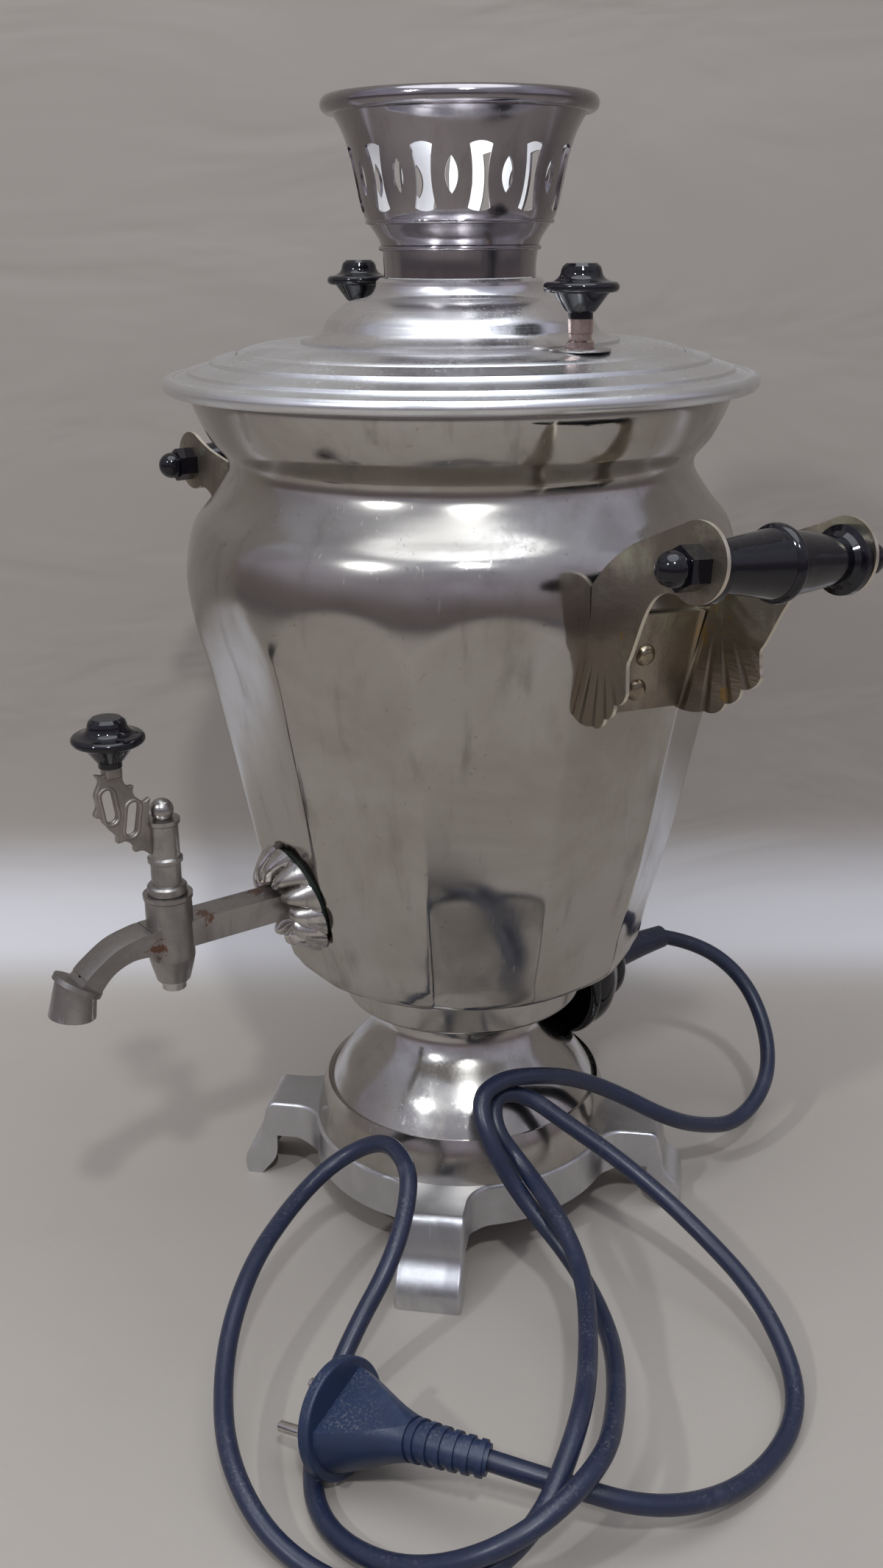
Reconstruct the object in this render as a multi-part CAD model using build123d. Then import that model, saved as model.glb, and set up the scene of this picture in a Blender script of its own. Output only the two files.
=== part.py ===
from build123d import *
import os
from math import atan2, cos, degrees, hypot, pi, radians, sin, tan

# Electric samovar: a faceted kettle tank on a pedestal and a four-legged stamped base, with a
# plug tap, two side handles, a stepped lid that carries a pierced crown, and a mains cord.
# Millimetres, +Z up. Shapes are drawn about the tank's upright axis. The tap points to -Y, the
# handles to +X and -X, and the cord leaves at +Y. An azimuth is counted from the tap, towards +X.

# ---------------------------------------------------------------- driving sizes
SHEET = 1.2                # wall of the tank, collar, pedestal and lid sheet
PASS = 0.3                 # gap between a body that lifts or turns and its neighbour
FIT = 0.05                 # radial running fit of the tap plug in its barrel
SLIP = 0.1                 # radial slip of a screw, rod or tube in its hole

BASE_HEIGHT = 37.0
BASE_SHEET = 1.5
BASE_DISC = 66.0           # radius of the round middle of the base
BASE_SKIRT = 18.5          # height of the skirt's lower edge above the ground
LEG_REACH = 98.6           # radius of the toes
LEG_WIDTH = 27.0
LEG_FILLET = 12.5          # plan fillet between leg and disc
LEG_SOLE = 7.0             # length of the flat sole under a toe
BASE_EDGE = 1.4            # rounding of the base's upper edge

PEDESTAL_HEIGHT = 61.7
NECK_RADIUS = 34.0
PEDESTAL_FOOT = 64.6       # radius where the pedestal stands on the base
COLLAR_HEIGHT = 17.3
COLLAR_RADIUS = 51.0
COLLAR_EDGE = 2.0

TANK_RIM = 102.0           # radius of the tank's rim
TANK_HEIGHT = 240.3
TANK_LIP = 45.0            # radius of the hole in the tank's underside
FACETS = 12

FLOOR_RADIUS = 54.0
FLOOR_SHEET = 2.0
ROD_DIAMETER = 8.0
ROD_FLANGE = 24.0
NUT_FLATS = 13.0
NUT_HEIGHT = 6.5
WASHER_SHEET = 1.6

HEATER_TUBE = 8.0
HEATER_RISE = 22.0         # height of the heater loop above the tank floor
HEATER_DROP = 8.0          # what each heater leg shows below the tank floor
HEATER_LEG = 12.0          # half the distance between the heater legs
HEATER_BACK = 30.0         # distance of the heater legs behind the axis
HEATER_SIDE = 44.0
HEATER_FRONT = 40.0
SEAL_WIDTH = 16.0
SEAL_SHEET = 2.0

RING_RADIUS = 112.0        # outer radius of the rolled top ring
RING_BORE = 76.0
LID_RADIUS = 84.0
LID_SKIRT = 75.4           # outer radius of the rim that centres the lid
LID_SKIRT_DEPTH = 11.0
DOME_FOOT = 60.0
KNOB_CIRCLE = 69.0         # distance of the lid knobs from the axis
KNOB_COLLAR = 8.5          # diameter of a knob's collar
FERRULE_HEIGHT = 10.6
FERRULE_DIAMETER = 8.7
STUD_DIAMETER = 4.0
STUD_DEPTH = 8.0           # what the stud reaches into its knob
LID_NUT_FLATS = 7.0
LID_NUT_HEIGHT = 3.2

CROWN_HEIGHT = 62.0
CROWN_FOOT = 28.3          # radius of the crown's foot
CROWN_SHEET = 1.2
CROWN_BEAD = 3.3           # radius of the rolled bead round the crown
CROWN_RIM = 50.3           # outer radius of that bead
CROWN_OPENINGS = 12

GRIP_REACH = 160.0         # distance of a grip's axis from the tank axis
GRIP_HEIGHT = 191.3        # height of a grip's axis above the tank's underside
ROD_GRIP = 6.0             # diameter of the rod through a grip
BRACKET_SHEET = 1.5
BRACKET_HALF = 24.0        # half the width of a bracket where it meets the tank
EAR_SPREAD = 34.5          # half the width of a bracket across its ears at the grip
EAR_BEND = 43.0            # how far out the ears turn parallel
BRACKET_FOLD = 99.0        # distance of the ears' folds from the tank axis
HANDLE_TWIST = {"right": 5.0, "left": 0.5}     # how far each handle has worked round, degrees
ACORN_FLATS = 12.5
ACORN_HEX = 8.0
ACORN_BALL = 5.7
RIVET_SHANK = 4.0
RIVET_HEAD = 8.0

TAP_HEIGHT = 43.6          # height of the tap's arm above the tank's underside
TAP_KEY = 135.7            # distance of the plug's axis from the tank axis
TAP_ARM_WIDTH = 12.6
TAP_ARM_DEPTH = 10.4
TAP_BORE = 6.0             # water way through arm, plug and spout
BARREL_RADIUS = 9.25
PLUG_RADIUS = 5.0
ROSETTE_RADIUS = 23.5
ROSETTE_PETALS = 12
PETAL_RADIUS = 5.9
GASKET_RADIUS = 20.0
GASKET_SHEET = 1.5
TAP_STUB = 14.0            # diameter of the threaded stub through the tank wall
TAP_NUT_FLATS = 22.0
TAP_NUT_HEIGHT = 5.0
LEVER_SHEET = 3.0
LEVER_REACH = 18.3         # how far the lever's knob stands out from the plug's axis
NOZZLE_RADIUS = 8.7
NOZZLE_BORE = 5.5

INLET_HEIGHT = 48.5        # height of the cord inlet above the pedestal's foot
INLET_BORE = 7.4
BELL_RADIUS = 28.0
BELL_START = 52.0          # distance of the inlet's bell from the tank axis
BOOT_ROOT = 16.0
BOOT_TIP = 10.6
BOOT_START = 86.0
BOOT_LENGTH = 33.0

CORD_DIAMETER = 7.0
CORD_BEND = 0.45           # share of the shorter run that a bend's arc takes
CORD_ROUTE = [             # the points of the cord's route between its boot and its plug
    (8.3, 136.7, 80.5), (25.3, 152.3, 63.2), (45.0, 149.1, 42.3), (62.5, 130.8, 29.6),
    (69.8, 103.9, 22.3), (70.3, 77.6, 31.4), (70.1, 56.3, 43.9), (60.0, 35.8, 59.1),
    (57.5, 14.8, 72.0), (57.3, -5.2, 79.9), (55.9, -21.9, 83.3), (59.0, -36.4, 80.9),
    (70.4, -39.3, 68.1), (79.9, -32.2, 46.8), (108.8, -25.4, 27.1), (143.7, -38.0, 22.4),
    (176.4, -65.3, 30.1), (202.1, -94.9, 39.2), (203.2, -133.3, 29.9), (176.0, -155.9, 11.1),
    (136.8, -163.2, 3.6), (101.7, -142.1, 3.7), (88.2, -116.8, 24.0), (83.1, -95.0, 43.4),
    (70.7, -78.6, 55.2), (59.2, -69.9, 63.4), (35.9, -65.7, 62.3), (21.4, -80.0, 50.1),
    (28.0, -104.9, 43.1), (47.6, -136.4, 37.9), (72.4, -161.6, 24.5), (110.7, -180.8, 17.0),
    (146.9, -178.7, 4.4), (185.4, -155.8, 4.0), (201.7, -123.6, 24.1), (185.1, -89.4, 41.1),
    (158.1, -62.4, 38.6), (127.5, -38.0, 39.4), (99.8, -29.4, 48.8), (72.9, -24.8, 53.4),
    (62.7, -30.9, 66.8), (52.5, -23.1, 75.5), (55.9, -8.5, 71.4), (69.7, 1.1, 61.3),
    (90.5, 14.4, 48.2), (120.2, 25.1, 31.5), (160.8, 24.5, 19.6), (196.0, 9.2, 4.0),
    (212.1, -32.7, 4.4), (211.4, -77.3, 17.7), (187.5, -104.7, 28.3),
]
PIN_DIAMETER = 4.0
PIN_SPACING = 19.0
PIN_LENGTH = 19.0
PIN_ROOT = 8.0             # what a pin reaches into the plug
PLUG_FLANGE = 20.6         # radius of the plug's flange
PLUG_FLANGE_SHEET = 4.6
PLUG_LENGTH = 34.0         # from the flange's face to the relief
PLUG_NECK = 7.4            # radius of the plug where the relief starts
PLUG_FACE = (116.5, -140.9, 21.5)              # where the middle of the flange's face lies
PLUG_HEADING = 200.0       # where the pins point in plan, degrees from +X
PLUG_TILT = 12.0           # how far the pins point down, degrees
PLUG_ROLL = 13.7           # turn of the pins' row about the plug's axis, degrees
RELIEF_LENGTH = 27.0
RELIEF_ROOT = 6.6
RELIEF_TIP = 5.2
RELIEF_HEADING = 38.0      # where the cord leaves the relief in plan, degrees from +X
RELIEF_TILT = 4.0          # how far the cord leaves it downwards, degrees
RELIEF_RINGS = 6

# ---------------------------------------------------------------- levels, worked out
PEDESTAL_LEVEL = BASE_HEIGHT
COLLAR_LEVEL = PEDESTAL_LEVEL + PEDESTAL_HEIGHT
TANK_LEVEL = COLLAR_LEVEL + COLLAR_HEIGHT
RIM_LEVEL = TANK_LEVEL + TANK_HEIGHT
FLOOR_LEVEL = TANK_LEVEL + SHEET
INLET_LEVEL = PEDESTAL_LEVEL + INLET_HEIGHT
TAP_LEVEL = TANK_LEVEL + TAP_HEIGHT
GRIP_LEVEL = TANK_LEVEL + GRIP_HEIGHT

# Planes through the axis: SIDE looks at the tap's middle plane, with x outward and y up.
SIDE = Plane(origin=(0, 0, 0), x_dir=(0, -1, 0), z_dir=(-1, 0, 0))
FACING = Plane.XZ


# ---------------------------------------------------------------- helpers
def outline(*lines):
    """Return the face inside a closed run of lines."""
    return make_face([edge for line in lines for edge in line.edges()])


def turned(face):
    """Revolve a face drawn as (radius, height) about the upright axis."""
    return revolve(Plane.XZ * face, Axis.Z)


def turned_sheet(line, thickness, side=Side.RIGHT):
    """Revolve an open line into a wall of the given thickness."""
    return turned(make_face(offset(line, thickness, side=side, kind=Kind.INTERSECTION, closed=True)))


def tube(outer, inner, length):
    """Return an upright tube on the ground, by its two radii."""
    upright = (Align.CENTER, Align.CENTER, Align.MIN)
    return Cylinder(outer, length, align=upright) - Cylinder(inner, length, align=upright)


def rod(radius, length):
    """Return an upright round bar on the ground."""
    return Cylinder(radius, length, align=(Align.CENTER, Align.CENTER, Align.MIN))


def hexagon(flats, height):
    """Return an upright hexagonal bar on the ground."""
    return extrude(RegularPolygon(flats / 2, 6, major_radius=False), amount=height)


def toward(azimuth, shape):
    """Turn a shape drawn towards the tap to another azimuth."""
    return Rot(0, 0, azimuth) * shape


def solids(shapes):
    """Join separate solids in one node."""
    return Compound([solid for shape in shapes for solid in shape.solids()])


# ---------------------------------------------------------------- tank
# Radius and height above the underside, down the tank's wall at its ridges.
TANK_NECK = [(TANK_RIM, 230), (96, 218), (89.2, 207.5), (96.5, 194), (104, 184), (107.6, 166)]
TANK_RIDGE = [(103, 134), (95.6, 99), (87.6, 59), (78.4, 24), (76.5, 14)]
TANK_TURN = (70, 4.5)      # where the wall has turned under
TANK_SEAT = 54.5           # radius of the flat ring under the tank
FACET_FLARE = [(111, 166), (104.8, 152)]


def tank_round(inset):
    """Return the tank's turned form, with its wall moved in by inset."""
    wall = Spline(*[(r - inset, z) for r, z in TANK_NECK + TANK_RIDGE],
                  tangents=[(0, -1), (-0.25, -1)])
    turn_r, turn_z = TANK_TURN
    foot = (wall @ 1).X
    under = ThreePointArc(wall @ 1, (foot - 1.6, TANK_RIDGE[-1][1] * 0.6), (turn_r - inset, turn_z + inset))
    seat = Polyline(under @ 1, (TANK_SEAT, inset), (0, inset), (0, TANK_HEIGHT),
                    (TANK_RIM - inset, TANK_HEIGHT),
                    wall @ 0)
    return Pos(0, 0, TANK_LEVEL) * turned(outline(wall, under, seat))


def facet_line(inset):
    """Return the line that a facet follows, as (distance from the axis, height)."""
    half = pi / FACETS
    points = FACET_FLARE + [(r * cos(half), z) for r, z in TANK_RIDGE]
    return Spline(*[(r - inset, z) for r, z in points])


def tank_form(inset=0.0):
    """Return the whole tank as a solid: the turned form, cut by its facets."""
    line = facet_line(inset)
    far = TANK_RIM * 1.4
    low = line @ 1
    rest = Polyline(low, (low.X - 6, -10), (far, -10), (far, FACET_FLARE[0][1]), line @ 0)
    cutter = extrude(SIDE * outline(line, rest), amount=TANK_RIM / 2, both=True)
    cutter = Pos(0, 0, TANK_LEVEL) * cutter
    return tank_round(inset) - [toward(360 / FACETS * n, cutter) for n in range(FACETS)]


TANK_SOLID = tank_form()
TANK_CAVITY = tank_form(SHEET)


# The tap sits square on its facet, which leans in towards the tank's foot.
def tap_seat():
    """Return the plane of the tap's facet at the tap's height, facing outwards."""
    half = pi / FACETS
    (high_r, high_z), (low_r, low_z) = TANK_RIDGE[2], TANK_RIDGE[3]
    share = (TAP_HEIGHT - low_z) / (high_z - low_z)
    reach = (low_r + share * (high_r - low_r)) * cos(half)
    lean = atan2((high_r - low_r) * cos(half), high_z - low_z)
    return Plane(origin=(0, -reach, TAP_LEVEL), x_dir=(1, 0, 0), z_dir=(0, -cos(lean), -sin(lean)))


TAP_SEAT = tap_seat()


def body_shell():
    """Return the tank's wall, with the holes for the tap and the handle rivets."""
    shell = TANK_SOLID - TANK_CAVITY - Pos(0, 0, TANK_LEVEL) * rod(TANK_LIP, SHEET)
    shell -= TAP_SEAT * Pos(0, 0, -20) * rod(TAP_STUB / 2 + SLIP, 40)
    return shell - [hole for side in HANDLE_TWIST for hole in rivet_holes(side)]


def tank_floor():
    """Return the disc that closes the tank, with holes for the heater's legs."""
    disc = rod(FLOOR_RADIUS, FLOOR_SHEET)
    holes = [Pos(x, HEATER_BACK, 0) * rod(HEATER_TUBE / 2, FLOOR_SHEET) for x in (-HEATER_LEG, HEATER_LEG)]
    return Pos(0, 0, FLOOR_LEVEL) * (disc - holes)


# ---------------------------------------------------------------- heater
HEATER_TOP = FLOOR_LEVEL + FLOOR_SHEET


def heating_element():
    """Return the bent tubular heater: one loop above the floor, with both legs through it."""
    low = FLOOR_LEVEL - HEATER_DROP
    high = HEATER_TOP + HEATER_RISE
    route = [(-HEATER_LEG, HEATER_BACK, low), (-HEATER_LEG, HEATER_BACK, high),
             (-HEATER_SIDE, HEATER_BACK, high), (-HEATER_SIDE, -HEATER_FRONT, high),
             (HEATER_SIDE, -HEATER_FRONT, high), (HEATER_SIDE, HEATER_BACK, high),
             (HEATER_LEG, HEATER_BACK, high), (HEATER_LEG, HEATER_BACK, low)]
    bend = HEATER_TUBE * 1.5
    path = FilletPolyline(*route, radius=[bend, bend, bend * 2, bend * 2, bend, bend])
    section = Plane(origin=route[0], z_dir=(0, 0, 1)) * Circle(HEATER_TUBE / 2)
    return sweep(section, path=path)


def at_heater_legs(shape):
    """Return the shape twice, once round each heater leg."""
    return solids([Pos(x, HEATER_BACK, 0) * shape for x in (-HEATER_LEG, HEATER_LEG)])


def heater_seals():
    """Return the two seals that the heater's legs pass through, on the tank floor."""
    return at_heater_legs(Pos(0, 0, HEATER_TOP) * tube(SEAL_WIDTH / 2, HEATER_TUBE / 2, SEAL_SHEET))


def heater_nuts():
    """Return the two nuts that clamp the heater from below."""
    nut = hexagon(NUT_FLATS, NUT_HEIGHT / 2) - rod(HEATER_TUBE / 2, NUT_HEIGHT)
    return at_heater_legs(Pos(0, 0, FLOOR_LEVEL - NUT_HEIGHT / 2) * nut)


# ---------------------------------------------------------------- collar and pedestal
# Radius and height above the base, down the pedestal's neck and over its dome.
PEDESTAL_NECK = [(33.2, 51), (36, 43.5), (44, 35.3), (50.5, 28.5), (55, 22.3), (58, 17.8)]
PEDESTAL_RING = [(59.6, 18.4), (62, 12.4), (64, 4)]
NECK_BORE = 27.0           # radius of the open way down through the neck


def collar():
    """Return the drum between pedestal and tank, a cup with an open bottom centre."""
    edge = FilletPolyline((NECK_BORE, 0), (COLLAR_RADIUS, 0), (COLLAR_RADIUS, COLLAR_HEIGHT),
                          radius=COLLAR_EDGE)
    return Pos(0, 0, COLLAR_LEVEL) * turned_sheet(edge, SHEET, Side.LEFT)


def pedestal_lines():
    """Return the pedestal's outer line, from the rim of its neck down to its foot."""
    top = Line((NECK_BORE, PEDESTAL_HEIGHT), (NECK_RADIUS, PEDESTAL_HEIGHT))
    neck = Spline((NECK_RADIUS, PEDESTAL_HEIGHT), *PEDESTAL_NECK, tangents=[(-0.1, -1), (0.6, -1)])
    ledge = Line(neck @ 1, PEDESTAL_RING[0])
    ring = Spline(*PEDESTAL_RING, (PEDESTAL_FOOT, 0), tangents=[(0.2, -1), (0, -1)])
    return [top, neck, ledge, ring]


def pedestal_form():
    """Return the space that the pedestal encloses, as a solid."""
    lines = pedestal_lines()
    rest = Polyline((PEDESTAL_FOOT, 0), (0, 0), (0, PEDESTAL_HEIGHT), (NECK_BORE, PEDESTAL_HEIGHT))
    return Pos(0, 0, PEDESTAL_LEVEL) * turned(outline(*lines, rest))


def pedestal():
    """Return the pedestal's wall, with the hole that the cord enters by."""
    top, neck, ledge, ring = pedestal_lines()
    inner = [Line((NECK_BORE, PEDESTAL_HEIGHT - SHEET), (NECK_RADIUS - SHEET, PEDESTAL_HEIGHT - SHEET)),
             Spline((NECK_RADIUS - SHEET, PEDESTAL_HEIGHT - SHEET),
                    *[(r - SHEET, z) for r, z in PEDESTAL_NECK]),
             Spline((PEDESTAL_NECK[-1][0] - SHEET, PEDESTAL_NECK[-1][1]), (62 - SHEET, 11),
                    (PEDESTAL_FOOT - SHEET, 0))]
    ends = [Line((NECK_BORE, PEDESTAL_HEIGHT - SHEET), (NECK_BORE, PEDESTAL_HEIGHT)),
            Line((PEDESTAL_FOOT - SHEET, 0), (PEDESTAL_FOOT, 0))]
    wall = Pos(0, 0, PEDESTAL_LEVEL) * turned(outline(top, neck, ledge, ring, *inner, *ends))
    return wall - inlet_axis(rod(INLET_BORE / 2 + SHEET, BELL_START))


# ---------------------------------------------------------------- base
def stamping(inset):
    """Return the base's outer form, with its upper faces and walls moved in by inset."""
    reach = LEG_REACH - inset
    half = LEG_WIDTH / 2 - inset
    plan = Circle(BASE_DISC - inset)
    plan += [Rot(0, 0, 45 + 90 * n) * Rectangle(2 * LEG_REACH + 4, 2 * half) for n in range(2)]
    corners = [v for v in plan.vertices() if hypot(v.X, v.Y) < BASE_DISC + 1]
    plan = fillet(corners, LEG_FILLET)
    block = extrude(plan, amount=BASE_HEIGHT - inset)
    top = BASE_HEIGHT - inset
    knee = Spline((reach - 14.6, top), (reach - 10.1, top - 6), (reach - 8.6, top - 14),
                  tangents=[(1, -0.1), (0.05, -1)])
    shin = Spline(knee @ 1, (reach - 2.4, 12.6), (reach, 6), (reach - 0.8, 0),
                  tangents=[(0.05, -1), (-0.2, -1)])
    if inset:
        rest = Polyline(shin @ 1, (reach - 0.8, -5), (0, -5), (0, top), knee @ 0)
        side = outline(knee, shin, rest)
    else:
        sole = Line(shin @ 1, (shin @ 1) - (LEG_SOLE, 0))
        heel = Spline(sole @ 1, (LEG_REACH - 13.8, 8), (LEG_REACH - 15.4, BASE_SKIRT + 2),
                      tangents=[(-0.6, 1), (0, 1)])
        rest = Polyline(heel @ 1, (BASE_DISC + 8, BASE_SKIRT + 2), (BASE_DISC + 1, BASE_SKIRT),
                        (0, BASE_SKIRT),
                        (0, top), knee @ 0)
        side = outline(knee, shin, sole, heel, rest)
    slab = extrude(SIDE * side, amount=BASE_DISC / 2, both=True)
    low = -5 if inset else BASE_SKIRT
    disc = Pos(0, 0, low) * rod(BASE_DISC + 1, top - low)
    return block & (disc + [toward(45 + 90 * n, slab) for n in range(4)])


def base():
    """Return the stamped base: a shallow dish with four bent legs, open below."""
    outer = stamping(0)
    outer = fillet([edge for edge in outer.edges() if edge.bounding_box().min.Z > BASE_HEIGHT - SLIP],
                   BASE_EDGE)
    hollow = stamping(BASE_SHEET) - rod(LEG_REACH, BASE_SHEET)
    bore = rod(ROD_DIAMETER / 2 + SLIP, BASE_HEIGHT)
    return outer - hollow - bore


PAN_RADIUS = BASE_DISC - BASE_SHEET - 2.5


def bottom_cover():
    """Return the pan that closes the base from below, held by the tie rod."""
    wall = FilletPolyline((ROD_DIAMETER / 2 + SLIP, 0), (PAN_RADIUS, 0),
                          (PAN_RADIUS, BASE_HEIGHT - BASE_SHEET - BASE_SKIRT), radius=3)
    return Pos(0, 0, BASE_SKIRT) * turned_sheet(wall, SHEET, Side.LEFT)


# ---------------------------------------------------------------- tie rod
ROD_END = BASE_SKIRT - WASHER_SHEET - NUT_HEIGHT - 2


def tie_rod():
    """Return the rod that holds tank, collar, pedestal and base together, with its welded flange."""
    bar = Pos(0, 0, ROD_END) * rod(ROD_DIAMETER / 2, FLOOR_LEVEL - ROD_END)
    return bar + Pos(0, 0, FLOOR_LEVEL - 3) * rod(ROD_FLANGE / 2, 3)


def tie_washer():
    """Return the washer between the tie nut and the bottom cover."""
    return Pos(0, 0, BASE_SKIRT - WASHER_SHEET) * tube(NUT_FLATS, ROD_DIAMETER / 2, WASHER_SHEET)


def tie_nut():
    """Return the nut under the base."""
    nut = hexagon(NUT_FLATS, NUT_HEIGHT) - rod(ROD_DIAMETER / 2, NUT_HEIGHT)
    return Pos(0, 0, BASE_SKIRT - WASHER_SHEET - NUT_HEIGHT) * nut


# ---------------------------------------------------------------- cord inlet
def inlet_axis(shape):
    """Lay an upright shape along the inlet's axis, so that its foot is on the tank's axis."""
    return Pos(0, 0, INLET_LEVEL) * Rot(-90, 0, 0) * shape


def inlet_housing():
    """Return the stepped bell round the cord inlet, cut to stand on the pedestal."""
    bore = INLET_BORE / 2
    stem = BELL_RADIUS * 0.45
    rim = BELL_START
    lines = [Polyline((bore, NECK_RADIUS - 2), (stem, NECK_RADIUS - 2), (stem, rim),
                      (BELL_RADIUS - 2, rim)),
             ThreePointArc((BELL_RADIUS - 2, rim), (BELL_RADIUS, rim + 3), (BELL_RADIUS - 2, rim + 6)),
             ThreePointArc((BELL_RADIUS - 2, rim + 6), (BELL_RADIUS - 1.6, rim + 11),
                           (BELL_RADIUS - 4.5, rim + 17)),
             Line((BELL_RADIUS - 4.5, rim + 17), (BELL_RADIUS - 10, rim + 24)),
             ThreePointArc((BELL_RADIUS - 10, rim + 24), (BELL_RADIUS - 10.6, rim + 28),
                           (BELL_RADIUS - 15, rim + 31)),
             Polyline((BELL_RADIUS - 15, rim + 31), (BOOT_ROOT / 2 + 1, BOOT_START), (bore, BOOT_START),
                      (bore, NECK_RADIUS - 2))]
    return inlet_axis(turned(outline(*lines))) - pedestal_form()


def inlet_bush():
    """Return the bush that lines the hole in the pedestal's neck."""
    length = 4 * SHEET
    bush = Pos(0, 0, NECK_RADIUS - length) * tube(INLET_BORE / 2 + SHEET, INLET_BORE / 2, length)
    return inlet_axis(bush) & pedestal_form()


def cord_boot():
    """Return the tapered rubber boot round the cord."""
    root = BOOT_ROOT / 2
    tip = BOOT_TIP / 2
    skin = Spline((root, BOOT_START), (tip + 0.7, BOOT_START + BOOT_LENGTH * 0.6),
                  (tip, BOOT_START + BOOT_LENGTH))
    rest = Polyline(skin @ 1, (0, BOOT_START + BOOT_LENGTH), (0, BOOT_START), (root, BOOT_START))
    return inlet_axis(turned(outline(skin, rest)))


TERMINAL_BLOCK = (30.0, 14.0, 12.0)
TERMINAL_BACK = 30.0       # distance of the terminal block behind the axis
LEAD_DIAMETER = 3.0


def terminal_block():
    """Return the ceramic block inside the pedestal, with its two screw wells."""
    block = Box(*TERMINAL_BLOCK, align=(Align.CENTER, Align.CENTER, Align.MIN))
    wells = [Pos(x, 0, TERMINAL_BLOCK[2] - 4) * rod(2.5, 4) for x in (-HEATER_LEG / 2, HEATER_LEG / 2)]
    return Pos(0, TERMINAL_BACK, BASE_HEIGHT) * (block - wells)


def internal_leads():
    """Return the two leads from the terminal block up to the heater's legs."""
    low = BASE_HEIGHT + TERMINAL_BLOCK[2]
    high = FLOOR_LEVEL - HEATER_DROP
    leads = []
    for side in (-1, 1):
        route = [(side * 10, TERMINAL_BACK, low), (side * 10, TERMINAL_BACK, low + 8),
                 (side * 10, NECK_BORE - 8, COLLAR_LEVEL - 18),
                 (side * 10, NECK_BORE - 8, COLLAR_LEVEL + 3),
                 (side * HEATER_LEG, HEATER_BACK, high - 5), (side * HEATER_LEG, HEATER_BACK, high)]
        path = FilletPolyline(*route, radius=2.5)
        section = Plane(origin=route[0], z_dir=path % 0) * Circle(LEAD_DIAMETER / 2)
        leads.append(sweep(section, path=path))
    return solids(leads)


# ---------------------------------------------------------------- top ring and lid
LID_SEAT = RIM_LEVEL + 5.3         # the ledge in the ring that the lid lies on
LID_UNDER = LID_SEAT + PASS
LID_TOP = LID_UNDER + 4.7          # the flat upper face of the lid plate


def top_ring():
    """Return the stepped ring that covers the tank's rim and carries the lid."""
    rim = RIM_LEVEL
    recess = LID_RADIUS + PASS
    upper = Polyline((RING_BORE, LID_SEAT), (recess, LID_SEAT), (recess, rim + 6.9),
                     (recess + 0.9, rim + 7.5),
                     (93.5, rim + 5.2), (94.4, rim + 3.9), (102.4, rim + 1.6), (103.2, rim + 0.4),
                     (107.5, rim - 0.8))
    roll = ThreePointArc((107.5, rim - 0.8), (RING_RADIUS, rim - 3.6), (RING_RADIUS - 1.8, rim - 6))
    under = Polyline(roll @ 1, (RING_RADIUS - 3.4, rim - 5.2), (106.8, rim - 2), (TANK_RIM + 0.6, rim - 1),
                     (TANK_RIM + 0.6, rim), (TANK_RIM - 2.4, rim), (93, rim + 3.2),
                     (recess + 1, LID_SEAT - SHEET),
                     (RING_BORE, LID_SEAT - SHEET), (RING_BORE, LID_SEAT))
    return turned(outline(upper, roll, under))


def lid_plate():
    """Return the wide plate of the lid, with the skirt that centres it in the ring."""
    top = LID_TOP
    bore = DOME_FOOT - 10
    upper = Spline((LID_RADIUS - 12, top), (LID_RADIUS - 5, top - 1), (LID_RADIUS, LID_UNDER + SHEET),
                   tangents=[(1, 0), (0.8, -1)])
    edge = Line(upper @ 1, (LID_RADIUS, LID_UNDER))
    lower = Spline((LID_RADIUS, LID_UNDER), (LID_RADIUS - 5.6, top - 1 - SHEET),
                   (LID_SKIRT, top - SHEET - 0.35))
    skirt = Polyline(lower @ 1, (LID_SKIRT, top - LID_SKIRT_DEPTH),
                     (LID_SKIRT - SHEET, top - LID_SKIRT_DEPTH),
                     (LID_SKIRT - SHEET, top - SHEET), (bore, top - SHEET), (bore, top), upper @ 0)
    plate = turned(outline(upper, edge, lower, skirt))
    hole = rod(STUD_DIAMETER / 2, 4)
    return plate - [toward(90 * side, Pos(0, -KNOB_CIRCLE, top - 3) * hole) for side in (-1, 1)]


# Radius and height above the lid plate, down the outside of the dome.
DOME_WALL = [(31.4, 20.6), (32.6, 17.8), (36.2, 15.9)]
DOME_TIERS = [(38, 15.5), (46.8, 11.4), (50, 8.2), (52, 4.6), (54.6, 2.8), (DOME_FOOT, SHEET)]
DOME_TOP = 22.9
STEAM_RADIUS = 20.0


def lid_dome():
    """Return the spun dome of the lid, in three tiers, with the steam way under the crown."""
    brow = Polyline((STEAM_RADIUS, DOME_TOP), (CROWN_FOOT + 1.6, DOME_TOP), (31.3, 21.8), DOME_WALL[0])
    wall = Spline(*DOME_WALL)
    groove = Line(wall @ 1, DOME_TIERS[0])
    tiers = Spline(*DOME_TIERS, tangents=[(1, -0.1), (1, -0.1)])
    inside = Polyline(tiers @ 1, (DOME_FOOT, 0), (53.6, 0), (51, 3.6), (48.8, 7.2), (46, 10), (36.4, 14.2),
                      (33, 15.8), (30, 20), (29.6, DOME_TOP - SHEET), (STEAM_RADIUS, DOME_TOP - SHEET),
                      (STEAM_RADIUS, DOME_TOP))
    return Pos(0, 0, LID_TOP) * turned(outline(brow, wall, groove, tiers, inside))


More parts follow.
